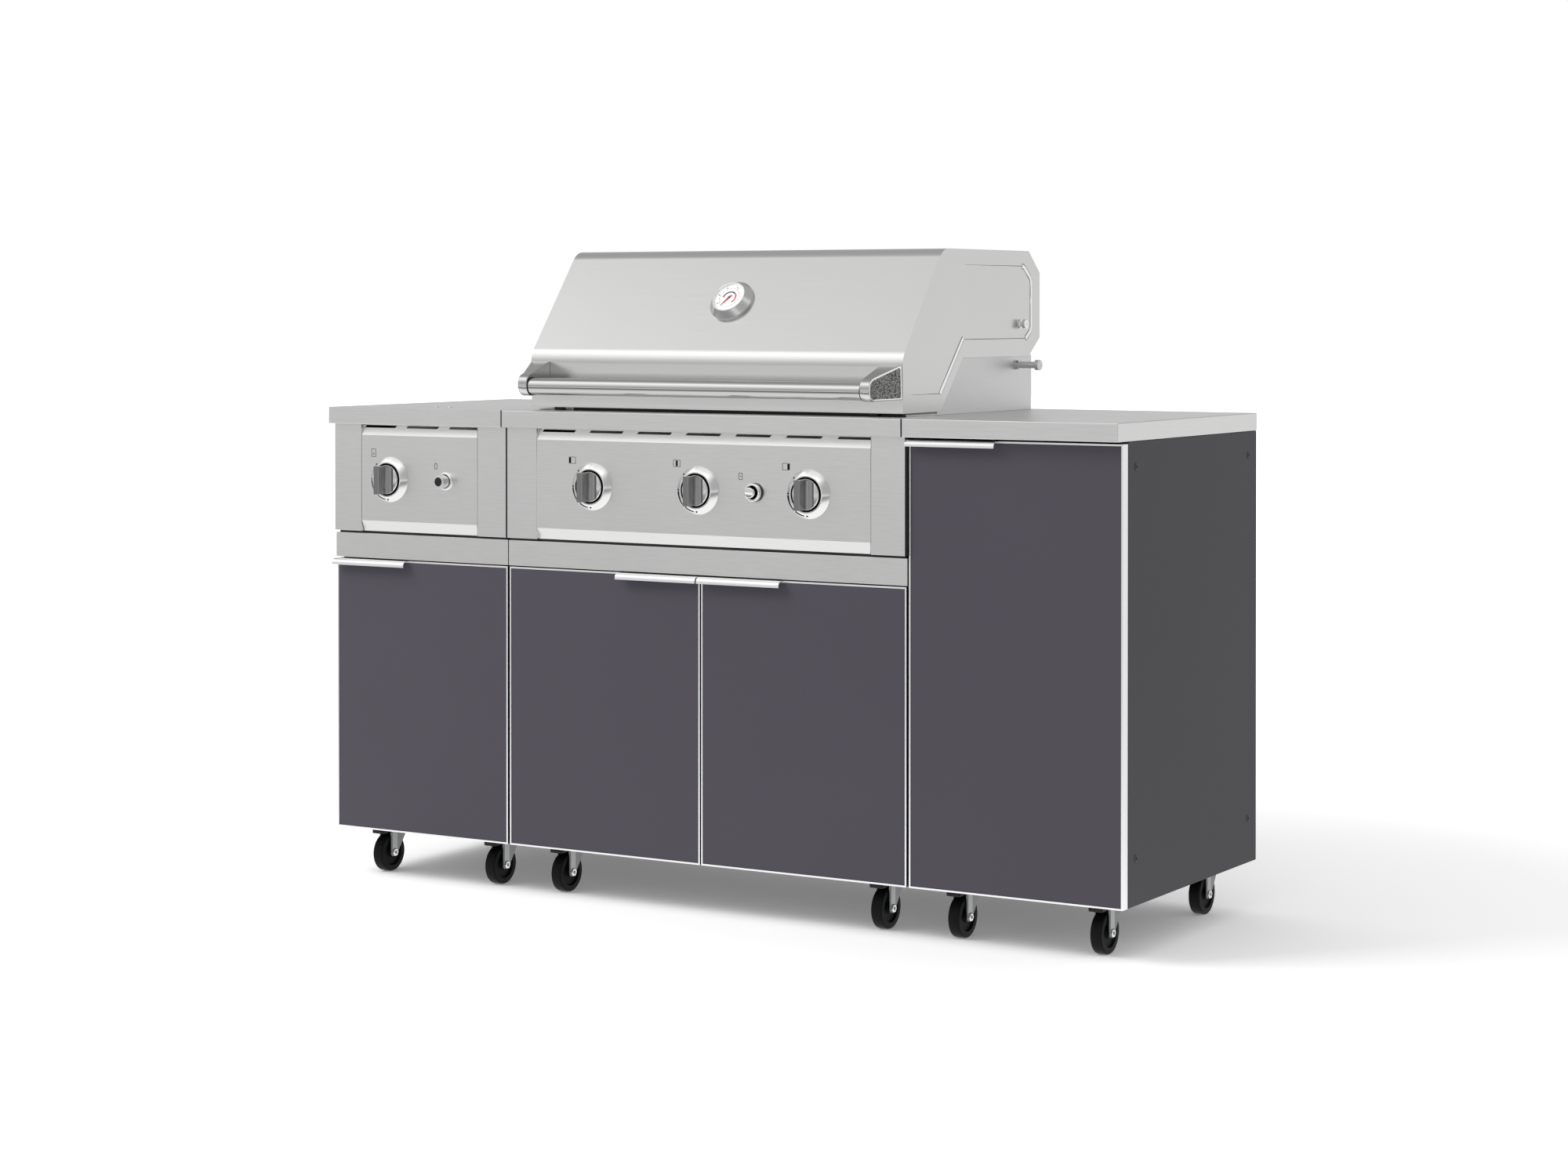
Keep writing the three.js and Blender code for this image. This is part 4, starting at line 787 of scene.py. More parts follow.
offMark = {
    "outer": {"angles": (87, 93), "radius": 42.0, "width": 0.4, "steps": 4},
    "inner": {"angles": (88, 92), "radius": 37.6, "width": 0.4, "steps": 4},
    "right": {"angles": (86.7, 87.3), "radius": 39.8, "width": 4.4, "steps": 2},
    "left": {"angles": (92.7, 93.3), "radius": 39.8, "width": 4.4, "steps": 2},
}


def inkBar(shape, x, z):
    block(shape, x, (panelSize["front"] - inkSize["lift"], panelSize["front"] + inkSize["root"]), z)


def inkFrame(shape, x, z):
    half = inkSize["line"] / 2
    for edge in x:
        inkBar(shape, (edge - half, edge + half), z)
    for edge in z:
        inkBar(shape, (x[0] + half, x[1] - half), (edge - half, edge + half))


def onCone(x, angle, radius, lift):
    # a point over a bezel's cone
    foot = (bezelSize["outer"] - 0.5, bezelSize["rim"] + 0.87)
    head = (bezelSize["inner"] + bezelSize["land"] + 0.5, bezelSize["proud"] - 0.3)
    share = min((foot[0] - radius) / (foot[0] - head[0]), 1)
    height = foot[1] + (head[1] - foot[1]) * share + lift
    turn = math.radians(angle)
    return Vector((x + radius * math.cos(turn), panelSize["front"] - height, controlHeight + radius * math.sin(turn)))


def coneStrip(shape, x, angles, radius, widths, steps=12):
    levels = (inkSize["lift"], inkSize["coneRoot"])
    arcStrip(shape, lambda angle, r, h: onCone(x, angle, r, h), angles, radius, widths, levels, steps)


shape = newShape()
for name, (x, z) in inkFrames.items():
    inkFrame(shape, x, z)
    inkBar(shape, *inkSpots[name])
for cell, centre in enumerate(burnerIcons["centres"]):
    # three burners in a row, the knob's own one filled
    inkFrame(shape, (centre - burnerIcons["half"], centre + burnerIcons["half"]), burnerIcons["z"])
    middle = centre + (cell - 1) * burnerIcons["pitch"]
    low, high = burnerIcons["z"]
    inkBar(
        shape, (middle - burnerIcons["cell"], middle + burnerIcons["cell"]),
        (low + burnerIcons["inset"], high - burnerIcons["inset"]),
    )
makePiece("panel_marks", shape, "ink", "island", "stainless")
for x, body in knobBodies.items():
    shape = newShape()
    for ring in markRings.values():
        coneStrip(shape, x, ring["angles"], ring["radius"], ring["widths"])
    for angle, radius, dot in markDots.values():
        rod(shape, dot, -1.2, 0.9, standOn(onCone(x, angle, radius, 0), front), 16)
    makePiece(body.replace("knob", "marks"), shape, "ink", "island", "polished_metal")
    shape = newShape()
    for line in offMark.values():
        coneStrip(shape, x, line["angles"], line["radius"], (line["width"], line["width"]), line["steps"])
    makePiece(body.replace("knob", "off_mark"), shape, "paleInk", "island", "polished_metal")

igniters = {
    "side_burner_igniter": {
        "x": 275.5, "finish": "satin", "liner": (13.3, 3.8), "insert": (8.6, 23.8),
        "collar": [
            (17.6, -0.4), (17.6, 2), *smoothArc((15.1, 2), 2.5, 0, 90), (13.4, 4.5), (13.2, 4.2), (13.2, -0.4),
        ],
        "button": [
            (12.2, -14), (12.2, 23), *smoothArc((10.8, 23), 1.4, 0, 90), (8.7, 24.4), (8.5, 24.0), (8.5, 22.4),
            (0, 22.0),
        ],
    },
    "grill_igniter": {
        "x": 977, "finish": "chrome", "liner": (13.0, 10.9), "gasket": (16.85, 4.6),
        "collar": [
            (16.6, -0.4), (16.6, 10.2), *smoothArc((15.1, 10.2), 1.5, 0, 90), (13.4, 11.7), (12.9, 11.2),
            (12.9, -0.4),
        ],
        "button": [(9.7, -14), (9.7, 20.0), *smoothArc((8.1, 20), 1.6, 0, 90), (0, 22.0)],
    },
}
for name, part in igniters.items():
    place = atControl(part["x"])
    onIsland = ("island", "polished_metal")
    turnedPiece(name + "_collar", part["collar"], place, 64, ("chrome", *onIsland), True, crease=40)
    # painted shade: a black liner darkens the gap round the button
    turnedPiece(name + "_liner", recessShadeProfile(*part["liner"]), place, 64, ("black", *onIsland), True)
    # painted shade: a black foot ring round the collar stands for its shadow on the panel
    if "gasket" in part:
        radius, end = part["gasket"]
        band = [(radius, -0.2), (radius, end), (radius - 0.4, end), (radius - 0.4, -0.2)]
        turnedPiece(name + "_gasket", band, place, 64, ("black", *onIsland), True)
    look = (part["finish"], name, "polished_metal")
    turnedPiece(name + "_button", [(0, -14), *part["button"]], place, 48, look, crease=40, replaced=[name])
    if "insert" in part:
        radius, end = part["insert"]
        disc = [(0, 21), (radius, 21), (radius, end - 0.4), (radius - 0.5, end), (0, end)]
        turnedPiece(name + "_insert", disc, place, 40, ("black", name, "polished_metal"))
print("control panels done")

# hood: a bent sheet, its side plates cut out round the fixed cheeks
hoodSize = {
    "left": 449, "right": 1261, "front": 61, "rear": 607, "bottom": 933, "top": 1231, "bend": 1032, "lean": 2,
    "slope": 152, "frontBend": 45, "topBend": 40, "chamferRun": 47, "chamferDrop": 41, "rearWall": 125, "tail": 46,
    "plateEdge": 1030, "cutStart": 203, "cutEnd": 289, "sheet": 2.5, "edge": 1.0, "edgeSteps": 3, "sharp": 40,
}
hoodSides = {"left": (hoodSize["left"], -1), "right": (hoodSize["right"], 1)}
middle = (hoodSize["left"] + hoodSize["right"]) / 2


def hoodShell():
    size = hoodSize
    near, far, top, rearTop = size["front"], size["rear"], size["top"], size["top"] - size["chamferDrop"]
    skin = rounded([
        (far, rearTop - size["rearWall"]), (far, rearTop, 3), (far - size["chamferRun"], top, 6),
        (near + size["slope"], top, size["topBend"]), (near - size["lean"], size["bend"], size["frontBend"]),
        (near, size["bottom"]),
    ], 14)
    tail = [
        (size["cutStart"], size["bottom"]), (size["cutEnd"], size["plateEdge"]),
        (far - size["tail"], size["plateEdge"]),
    ]
    shape = newShape()
    ends = [[shape.verts.new((x, u, v)) for u, v in [*skin, *tail]] for x, outward in hoodSides.values()]
    for k in range(len(skin) - 1):
        shape.faces.new((ends[0][k], ends[0][k + 1], ends[1][k + 1], ends[1][k]))
    for ring in ends:
        shape.faces.new(ring)
    return shape


piece = makePiece("hood_skin", hoodShell(), "hoodSteel", "hood", "stainless", crease=30, replaced=["hood_shell"])
thicken(piece, hoodSize["sheet"])
breakEdges(piece, hoodSize["edge"], hoodSize["edgeSteps"], hoodSize["sharp"])

# a pressed line runs round the hood's side plates, drawn with painted light: a chrome rib as painted highlight on a
# black band of painted shade for the groove, only the black band where level
embossRibs = [
    [(532, 1202), (541, 1199.5), (566, 1179.5), (570.3, 1171), (570.3, 1086), (567, 1078), (546, 1063.5)],
    [(290.5, 1065), (286.5, 1062.5), (203.5, 969.5), (201, 965)],
]
embossLines = [
    {"path": [(300, 1202), (536, 1202)], "widths": (0.4, 1.4)},
    {"path": [(546, 1063.8), (289, 1063.8)], "widths": (1.4, 1.4)},
    {"path": [(203, 966), (93, 966)], "widths": (1.4, 0.4)},
]
embossSize = {"groove": 14.5, "rib": 9.8, "low": 0.15, "high": 0.7, "narrows": 0.7}


def ribbon(shape, points, widths, span):
    # a flat band along a path on a side plate
    path = [Vector(p) for p in points]
    rings = []
    for k, here in enumerate(path):
        ahead = (path[min(k + 1, len(path) - 1)] - path[max(k - 1, 0)]).normalized()
        half = (widths[0] + (widths[1] - widths[0]) * k / (len(path) - 1)) / 2
        across = Vector((-ahead.y, ahead.x)) * half
        crown = across * embossSize["narrows"]
        low, high = span
        corners = ((low, here - across), (low, here + across), (high, here + crown), (high, here - crown))
        rings.append([shape.verts.new((x, p.x, p.y)) for x, p in corners])
    lofted(shape, rings)


for side, (x, outward) in hoodSides.items():
    groove, rib = embossSize["groove"], embossSize["rib"]
    shape = newShape()
    span = (x - outward, x + outward * embossSize["low"])
    for points in embossRibs:
        ribbon(shape, points, (groove, groove), span)
    for line in embossLines:
        ribbon(shape, line["path"], line["widths"], span)
    makePiece("hood_groove_" + side, shape, "embossShade", "hood", "stainless")
    shape = newShape()
    for points in embossRibs:
        ribbon(shape, points, (rib, rib), (x - outward, x + outward * embossSize["high"]))
    makePiece("hood_rib_" + side, shape, "chrome", "hood", "stainless")

# bolts beside the hood: a short one that turns with it, and the long one it hangs on
boltSize = {
    "upper": {
        "at": (524, 1091.1), "stem": (4.5, -3, 7), "head": (9, 7.2, 0.8), "headAt": 6.4,
        "root": [(0, 0), (9, 0), (9, 1.8), (8.2, 2.5), (0, 2.5)], "rootSides": 48,
    },
    "lower": {
        "at": (513, 1013.4), "stem": (6.2, -2, 39), "head": (9.8, 9.8, 1.2), "headAt": 38.5,
        "root": [(0, -3), (9.6, -3), (9.6, 4), (8.6, 5), (0, 5)], "rootSides": 6,
    },
}


def boltShape(size, x, away):
    # stem, root and a turned thumb head with a groove round it
    shape = newShape()
    base = Vector((x, *size["at"]))
    radius, length, groove = size["head"]
    rod(shape, *size["stem"], standOn(base, away))
    turned(shape, size["root"], standOn(base, away), size["rootSides"])
    turned(shape, [
        (0, 0), (radius - 0.8, 0), (radius, 0.8), (radius, length * 0.4), (radius - groove, length * 0.45),
        (radius - groove, length * 0.6), (radius, length * 0.65), (radius, length - 0.8), (radius - 0.8, length),
        (radius * 0.4, length), (radius * 0.35, length - 0.8), (0, length - 0.8),
    ], standOn(base + away * size["headAt"], away), 48)
    return shape


for side, (x, outward) in hoodSides.items():
    upper, lower = (boltShape(size, x, rightward * outward) for size in boltSize.values())
    makePiece("hood_bolt_" + side, upper, "chrome", "hood", "polished_metal", crease=35)
    makePiece("hinge_bolt_" + side, lower, "collarSteel", "island", "polished_metal", crease=35)

# handle: a round bar between two cast brackets
handleSize = {
    "radius": 16, "wall": 18, "y": -1, "z": 974, "outer": 473.5, "nose": 20, "root": 493, "flare": 450, "foot": 958,
    "head": 1021, "back": 60.6, "edge": 1.4, "castRim": 3.2, "castProud": 0.15, "castDeep": 2, "bore": 15.9,
    "seal": [(15.8, -1.0), (17.4, -1.0), (17.4, 1.2), (15.8, 1.2)],
}


def bracketShape(less=0.0, proud=0.0):
    # with less the outline shrinks, and only a skin on the outer side is left
    size = handleSize
    wall, back, run = size["wall"] - less, size["back"] - less, size["back"] - size["y"]
    outline = rounded([
        (back, size["foot"] + less, 2), (back - 1.5, size["head"] - less * 1.6, 3),
        (size["y"] - wall, size["z"] + wall, wall - 0.01), (size["y"] - wall, size["z"] - wall, wall - 0.01),
    ], 12)

    def outerSide(y):
        return size["outer"] - (size["outer"] - size["flare"]) * max(y - size["y"], 0) / run - proud

    def innerSide(y):
        share = max(y - size["y"] - size["wall"], 0) / (run - size["wall"])
        return size["outer"] + size["nose"] - (size["outer"] + size["nose"] - size["root"]) * share

    shape = newShape()
    far = (lambda y: outerSide(y) + size["castDeep"]) if less else innerSide
    prism(shape, outline, "x", (outerSide, far), (size["y"], size["y"] + size["wall"]))
    return shape


def roundTheBar(profile, x):
    shape = newShape()
    turned(shape, profile, standOn((x, handleSize["y"], handleSize["z"]), rightward), 64, loop=True)
    return shape


def collarProfile():
    # two rounded shoulders on a bracket's nose, with a bore for the bar
    half, wall, bore = handleSize["nose"] / 2, handleSize["wall"] + 0.3, handleSize["bore"]
    inner = smoothArc((wall - 2, half - 2), 2, 60, 0, 2)
    outer = smoothArc((wall - 3, 3 - half), 3, -30, -90, 2)
    return [
        (bore, half), (wall - 2, half), *inner, (wall, 3 - half), *outer,
        (12, -half), (12, half - 6), (bore, half - 6),
    ]


shape = newShape()
reach = middle - handleSize["outer"] - handleSize["nose"] / 2
rod(shape, handleSize["radius"], -reach, reach, standOn((middle, handleSize["y"], handleSize["z"]), rightward), 64)
makePiece("handle_bar", shape, "barSteel", "hood", "stainless", crease=35, replaced=["hood_handle"])
for side, toRight in (("left", False), ("right", True)):
    nose = handleSize["outer"] + handleSize["nose"]
    for name, finish, shape, bevel in (
        ("handle_bracket_", "bracketSteel", bracketShape(), handleSize["edge"]),
        ("handle_collar_", "collarSteel", roundTheBar(collarProfile(), nose - handleSize["nose"] / 2), 0),
        ("handle_cast_face_", "castBracket", bracketShape(handleSize["castRim"], handleSize["castProud"]), 0),
        # painted shade: the black ring where the bar leaves each bracket darkens that joint
        ("handle_seal_", "black", roundTheBar(handleSize["seal"], nose), 0),
    ):
        if toRight:
            mirrored(shape, middle)
        piece = makePiece(name + side, shape, finish, "hood", "stainless", bevel, 3)
        if name == "handle_bracket_":
            # the rim round the cast face is bright
            outward = 1 if toRight else -1
            repaint(piece, "chrome", lambda normal: normal.x * outward > 0.8)

# black feet under the hood's front edge
footSize = {"x": (501, 520), "y": (61.8, 74), "z": (928.0, 936), "edge": 1.2}
for side in hoodSides:
    shape = newShape()
    block(shape, footSize["x"], footSize["y"], footSize["z"])
    if side == "right":
        mirrored(shape, middle)
    makePiece("hood_foot_" + side, shape, "black", "hood", "stainless", footSize["edge"], 3)
print("hood done")

# thermometer on the hood's slope; heights count from the slope, angles anticlockwise from three o'clock
gaugeSize = {"foot": (59, 1032), "head": (213, 1231), "rise": 0.505}
gaugeParts = {
    "case": {
        "profile": [
            (0, -55), (4, -55), (4, 0.3), (44, 0.3), (44, 5.2), *smoothArc((43, 5.2), 1, 0, 45, 3), (33.4, 17.2),
            (31.6, 17.2), (31.4, 12.6), (0, 12.6),
        ],
        "finish": "satin", "sides": 96, "crease": 30, "replaced": ["hood_thermometer"],
    },
    "ring": {
        "profile": [
            (33.3, 16.6), (33.3, 17.4), *smoothArc((32.5, 17.6), 0.8, 20, 90, 3), (31.9, 18.4), (31.0, 17.6),
            (30.8, 13.0), (31.8, 13.0),
        ],
        "finish": "chrome", "sides": 96, "crease": 50, "loop": True,
    },
    "dial": {"profile": [(0, 12.4), (31.2, 12.4), (31.2, 14.4), (0, 14.4)], "finish": "dialWhite", "crease": 30},
    "lens": {"profile": [(0, 16.7), (30.9, 16.7), (30.9, 17.2), (0, 17.4)], "finish": "lens", "crease": 30},
}
dialSize = {
    "level": 14.4, "lift": 0.25, "root": 0.3, "arc": 13.2, "arcWidth": 2.6, "black": (178, 40), "red": (36, -52),
    "redOut": 0.4, "marks": (-147, 165, 118, 66), "markRing": 25, "markWidth": 1.4, "markHalf": 4, "line": 21,
    "lineWidth": 0.5, "lineLift": 0.1, "ticks": 13, "tickFrom": 213, "tickStep": 22.5, "tickHalf": 0.9,
    "tickRing": 20.4, "tickWidth": 1.6,
}
needleSize = {
    "outline": [(-12.8, -19.8), (1.6, -0.9), (5.2, 5.2), (3.4, 5.8), (-1.6, 1.9)], "levels": (15.2, 15.8),
    "hub": [(0, 14.2), (1.9, 14.2), (1.9, 16.0), (1.4, 16.3), (0, 16.3)], "hubAt": (0.2, 0.6, 0),
}
slopeFoot, slopeHead = Vector((0, *gaugeSize["foot"])), Vector((0, *gaugeSize["head"]))
slopeUp = (slopeHead - slopeFoot).normalized()
slopeNormal = rightward.cross(slopeHead - slopeFoot).normalized()
gaugePoint = slopeFoot.lerp(slopeHead, gaugeSize["rise"]) + rightward * middle
gaugePlace = Matrix.Translation(gaugePoint) @ Matrix((rightward, slopeUp, slopeNormal)).transposed().to_4x4()
for name, part in gaugeParts.items():
    turnedPiece(
        "thermometer_" + name, part["profile"], gaugePlace, part.get("sides", 64),
        (part["finish"], "hood", "polished_metal"), part.get("loop", False), crease=part["crease"],
        replaced=part.get("replaced", ()),
    )


def onDial(angle, radius, height):
    turn = math.radians(angle)
    return gaugePlace @ Vector((radius * math.cos(turn), radius * math.sin(turn), height))


def dialStrip(shape, angles, radius, width, steps=24, lift=dialSize["lift"]):
    levels = (dialSize["level"] + lift, dialSize["level"] - dialSize["root"])
    arcStrip(shape, onDial, angles, radius, (width, width), levels, steps)


shape = newShape()
dialStrip(shape, dialSize["black"], dialSize["arc"], dialSize["arcWidth"])
for angle in dialSize["marks"]:
    half = dialSize["markHalf"]
    dialStrip(shape, (angle - half, angle + half), dialSize["markRing"], dialSize["markWidth"], 4)
for k in range(dialSize["ticks"]):
    angle, half = dialSize["tickFrom"] - k * dialSize["tickStep"], dialSize["tickHalf"]
    dialStrip(shape, (angle - half, angle + half), dialSize["tickRing"], dialSize["tickWidth"], 2)
makePiece("thermometer_scale", shape, "ink", "hood", "polished_metal")
shape = newShape()
dialStrip(shape, dialSize["red"], dialSize["arc"] + dialSize["redOut"], dialSize["arcWidth"])
lows, tops = (
    [shape.verts.new(gaugePlace @ Vector((u, v, level))) for u, v in needleSize["outline"]]
    for level in needleSize["levels"]
)
shape.faces.new(lows)
shape.faces.new(tops)
for k in range(len(lows)):
    shape.faces.new((lows[k - 1], lows[k], tops[k], tops[k - 1]))
makePiece("thermometer_pointer", shape, "redInk", "hood", "polished_metal")
hubPlace = gaugePlace @ Matrix.Translation(needleSize["hubAt"])
turnedPiece("thermometer_hub", needleSize["hub"], hubPlace, 24, ("black", "hood", "polished_metal"))
shape = newShape()
dialStrip(shape, (0, 360), dialSize["line"], dialSize["lineWidth"], 72, dialSize["lineLift"])
makePiece("thermometer_line", shape, "paleInk", "hood", "polished_metal")
print("gauge done")

casters = {
    "side": {"start": 0, "xs": (65, 340)}, "grill": {"start": 420, "xs": (77, 780)},
    "storage": {"start": 1290, "xs": (67, 345)},
}
casterSize = {
    "radius": 37.5, "width": 22, "trail": 22, "frontY": 130, "rearY": 550, "legGap": 1.2, "leg": 2.5, "strip": 11,
    "below": 7.5, "heel": 17, "crown": 79.8, "crownTop": 82.8, "cupTop": 91.7, "axle": 3.5, "axleEnd": 4.1,
    "tread": 3, "hub": [(5, -9.5), (10, -9.5), (11, -7), (24, -7), (26, -11)],
    "nut": 8.2, "nutLength": 3.5, "nutEdge": 1.2, "nutRoot": 0.3, "legEdge": 0.5,
    "ribInset": 3, "ribRoot": 0.5, "ribRise": 0.8, "ribEdge": 0.4,
}
pedalSize = {"x": (-17, 11), "out": 23, "in": 6, "z": (77.3, 84.3), "corner": 5, "edge": 1.5}
screwSize = {"x": 22, "y": 28, "profile": [(0, 89.4), (3.6, 89.4), (4.2, 89.9), (4.2, 92.4), (0, 92.4)]}
legInner = casterSize["width"] / 2 + casterSize["legGap"]
legOuter = legInner + casterSize["leg"]


def casterPlaces():
    for module, row in casters.items():
        for depth, y in (("front", casterSize["frontY"]), ("rear", casterSize["rearY"])):
            for side, offset in zip(("left", "right"), row["xs"]):
                yield f"{module}_{depth}_{side}", row["start"] + offset, y


def axlePlace(x, y):
    return standOn((x, y - casterSize["trail"], casterSize["radius"]), rightward)


def wheelProfile():
    radius, half, tread, hub = casterSize["radius"], casterSize["width"] / 2, casterSize["tread"], casterSize["hub"]
    near = [*hub, (radius - tread, -half), *smoothArc((radius - tread, tread - half), tread, -90, 0)]
    return near + [(r, -along) for r, along in reversed(near)]


def forkShape(x, y):
    shape = newShape()
    heel, crown, top, cup = (casterSize[key] for key in ("heel", "crown", "crownTop", "cupTop"))
    near, far = -casterSize["trail"] - casterSize["strip"], -casterSize["trail"] + casterSize["strip"]
    axle, low = casterSize["radius"], casterSize["radius"] - casterSize["below"]
    outline = rounded([
        (near, top, 2), (near, low, 7), (far, low, 7), (far, axle), (heel, crown - 4), (heel, top, 2),
    ], 8)
    for span in ((-legOuter, -legInner), (legInner, legOuter)):
        prism(shape, outline, "x", span)
    block(shape, (-legOuter, legOuter), (near, heel), (crown, top))
    for vertex in shape.verts:
        vertex.co += Vector((x, y, 0))
    turned(shape, [
        (0, top - 0.5), (20, top - 0.5), (20, top + 1.5), (17, top + 2.5), (17, cup - 3), (19, cup - 2), (19, cup),
        (0, cup),
    ], standOn((x, y, 0), upward), 40)
    end = legOuter + casterSize["axleEnd"]
    rod(shape, casterSize["axle"], -end, end, axlePlace(x, y), 24)
    return shape


def nutShape(x, y):
    shape = newShape()
    radius, edge = casterSize["nut"], casterSize["nutEdge"]
    foot, end = legOuter - casterSize["nutRoot"], legOuter + casterSize["nutLength"]
    for side in (-1, 1):
        profile = [(0, foot), (radius, foot), (radius, end - edge), (radius - edge, end), (0, end)]
        turned(shape, [(r, side * along) for r, along in profile], axlePlace(x, y), 6)
    return shape


def legRibShape(x, y):
    # the pressed strip on each leg's outer face
    shape = newShape()
    inset = casterSize["ribInset"]
    centre, half = y - casterSize["trail"], casterSize["strip"] - inset
    low, high = casterSize["radius"] - casterSize["below"] + inset, casterSize["crownTop"] - inset
    outline = rounded([
        (centre - half, high), (centre - half, low, 4), (centre + half, low, 4), (centre + half, high),
    ], 8)
    for side in (-1, 1):
        ends = (x + side * (legOuter - casterSize["ribRoot"]), x + side * (legOuter + casterSize["ribRise"]))
        prism(shape, outline, "x", sorted(ends))
    return shape


def pedalShape(x, y):
    shape = newShape()
    root, corner = y - casterSize["trail"] - casterSize["strip"], pedalSize["corner"]
    left, right = x + pedalSize["x"][0], x + pedalSize["x"][1]
    near, far = root - pedalSize["out"], root + pedalSize["in"]
    prism(shape, rounded([
        (left, far, 2), (right, far, 2), (right, near, corner), (left, near, corner),
    ], 5), "z", pedalSize["z"])
    return shape


for label, x, y in casterPlaces():
    turnedPiece(
        label + "_tyre", wheelProfile(), axlePlace(x, y), 64, ("rubber", label + "_roller", "caster_black"), True,
        crease=35, replaced=[label + "_wheel"],
    )
    # painted shade: the fork is drawn in dark copies of its zinc, the pressed strips a little lighter than the rest
    onSwivel = (label + "_swivel", "zinc_steel")
    makePiece(
        label + "_yoke", forkShape(x, y), "yokeShadeSteel", *onSwivel, casterSize["legEdge"], replaced=[label + "_fork"],
    )
    makePiece(label + "_leg_strip", legRibShape(x, y), "legShadeSteel", *onSwivel, casterSize["ribEdge"])
    makePiece(label + "_axle_nuts", nutShape(x, y), "zinc", *onSwivel)
    if y == casterSize["frontY"]:
        makePiece(
            label + "_pedal", pedalShape(x, y), "black", label + "_swivel", "caster_black", pedalSize["edge"], 3,
        )
print("casters done")

# cooking grate, burners and the inside
grateSize = {
    "x": (484, 1226), "y": (96, 555), "z": (895, 905), "frame": 12, "edge": 1.2, "lap": 0.5,
    "bar": 8, "count": 27, "round": 2.6, "foot": 0.8, "root": 1,
}
(left, right), (near, far), z, wide = (grateSize[key] for key in ("x", "y", "z", "frame"))
lap = wide - grateSize["lap"]
shape = newShape()
for x, y in (
    ((left, right), (near, near + wide)), ((left, right), (far - wide, far)),
    ((left, left + wide), (near + lap, far - lap)), ((right - wide, right), (near + lap, far - lap)),
):
    block(shape, x, y, z)
makePiece(
    "cooking_grate_frame", shape, "castIron", "island", "cast_iron", grateSize["edge"], 3, replaced=["cooking_grate"],
)
pitch = (right - left - wide * 2 + grateSize["bar"]) / (grateSize["count"] + 1)
half, curve, foot = grateSize["bar"] / 2, grateSize["round"], grateSize["bar"] / 2 - grateSize["foot"]
shape = newShape()
prism(
    shape, rounded([(-foot, z[0]), (foot, z[0]), (half, z[1], curve), (-half, z[1], curve)], 5), "y",
    (near + wide - grateSize["root"], far - wide + grateSize["root"]),
)
repeated(
    "cooking_grate_bars", shape, rowTree, grateSize["count"], (pitch, 0, 0), "castIron",
    (left + wide + pitch - half, 0, 0), "island", crease=30,
)

burnerSize = {
    "xs": (619, 855, 1091), "sideX": 139, "pipe": 9, "pipeEdge": 0.8, "pipeY": 64.3, "pipeEnds": (579, 1131),
    "tube": 14, "tubeEdge": 3, "end": 540, "valve": (47.7, 71.7), "valveHalf": 13, "valveEdge": 1.5,
    "ports": 22, "portStep": 18, "portFrom": 130, "port": 1.6, "portAngles": (50, 130), "portRise": (-1, 0.15),
}
size = burnerSize
start, pipe, edge = size["pipeEnds"][0], size["pipe"], size["pipeEdge"]
length = size["pipeEnds"][1] - start
shape = newShape()
turned(shape, [
    (0, 0), (pipe - edge, 0), (pipe, edge), (pipe, length - edge), (pipe - edge, length), (0, length),
], standOn((start, size["pipeY"], controlHeight), rightward), 40)
tube, edge, length = size["tube"], size["tubeEdge"], size["end"] - size["pipeY"]
for x in size["xs"]:
    turned(shape, [
        (0, 0), (tube, 0), (tube, length - edge), (tube - edge, length), (0, length),
    ], standOn((x, size["pipeY"], controlHeight), -front), 48)
makePiece("burner_tubes", shape, "zinc", "island", "zinc_steel", crease=40, replaced=["burner_manifold"])
shape = newShape()
half = size["valveHalf"]
for x in (*size["xs"], size["sideX"]):
    block(shape, (x - half, x + half), size["valve"], (controlHeight - half, controlHeight + half))
makePiece("gas_valves", shape, "satin", "island", "zinc_steel", size["valveEdge"], 3)
# painted shade: the burner ports are black plugs standing for the dark holes
for k, x in enumerate(size["xs"]):
    shape = newShape()
    for angle in size["portAngles"]:
        low, high = (tube + rise for rise in size["portRise"])
        rod(shape, size["port"], low, high, Matrix.Rotation(math.radians(90 - angle), 4, "Y"), 10)
    repeated(
        f"burner_ports_{k + 1}", shape, rowTree, size["ports"], (0, size["portStep"], 0), "black",
        (x, size["portFrom"], controlHeight), "island",
    )
softened("flame_tamer", "plateSteel", "island", softEdges["plate"], 1)

sideSize = {
    "x": 210, "y": 295, "base": 832.8, "radius": 45, "cap": 34, "height": 23, "pipe": 7, "riser": 9,
    "pipeFrom": (139, 60), "ports": 28, "port": (2.2, 0.8), "portDepth": (-3, 0.2),
}
size = sideSize
radius, cap, height, pipe = size["radius"], size["cap"], size["height"], size["pipe"]
low, high = height / 3, height * 2 / 3
shape = newShape()
turned(shape, [
    (0, 0), (cap, 0), (radius - 1, low - 0.5), (radius, low), (radius, high), (radius - 1, high + 0.7),
    (cap + 1, height - 0.8), (cap, height - 0.2), (0, height),
], Matrix.Translation((size["x"], size["y"], size["base"])), 64)
rod(shape, size["riser"], controlHeight - pipe, size["base"] + 2, Matrix.Translation((size["x"], size["y"], 0)))
makePiece("side_burner_head", shape, "castIron", "island", "cast_iron", crease=30, replaced=["side_burner"])
shape = newShape()
x, y = size["pipeFrom"]
for start, end in (((x, y), (x, size["y"])), ((x - pipe, size["y"]), (size["x"], size["y"]))):
    first, last = Vector((*start, controlHeight)), Vector((*end, controlHeight))
    rod(shape, pipe, 0, (last - first).length, standOn(first, (last - first).normalized()))
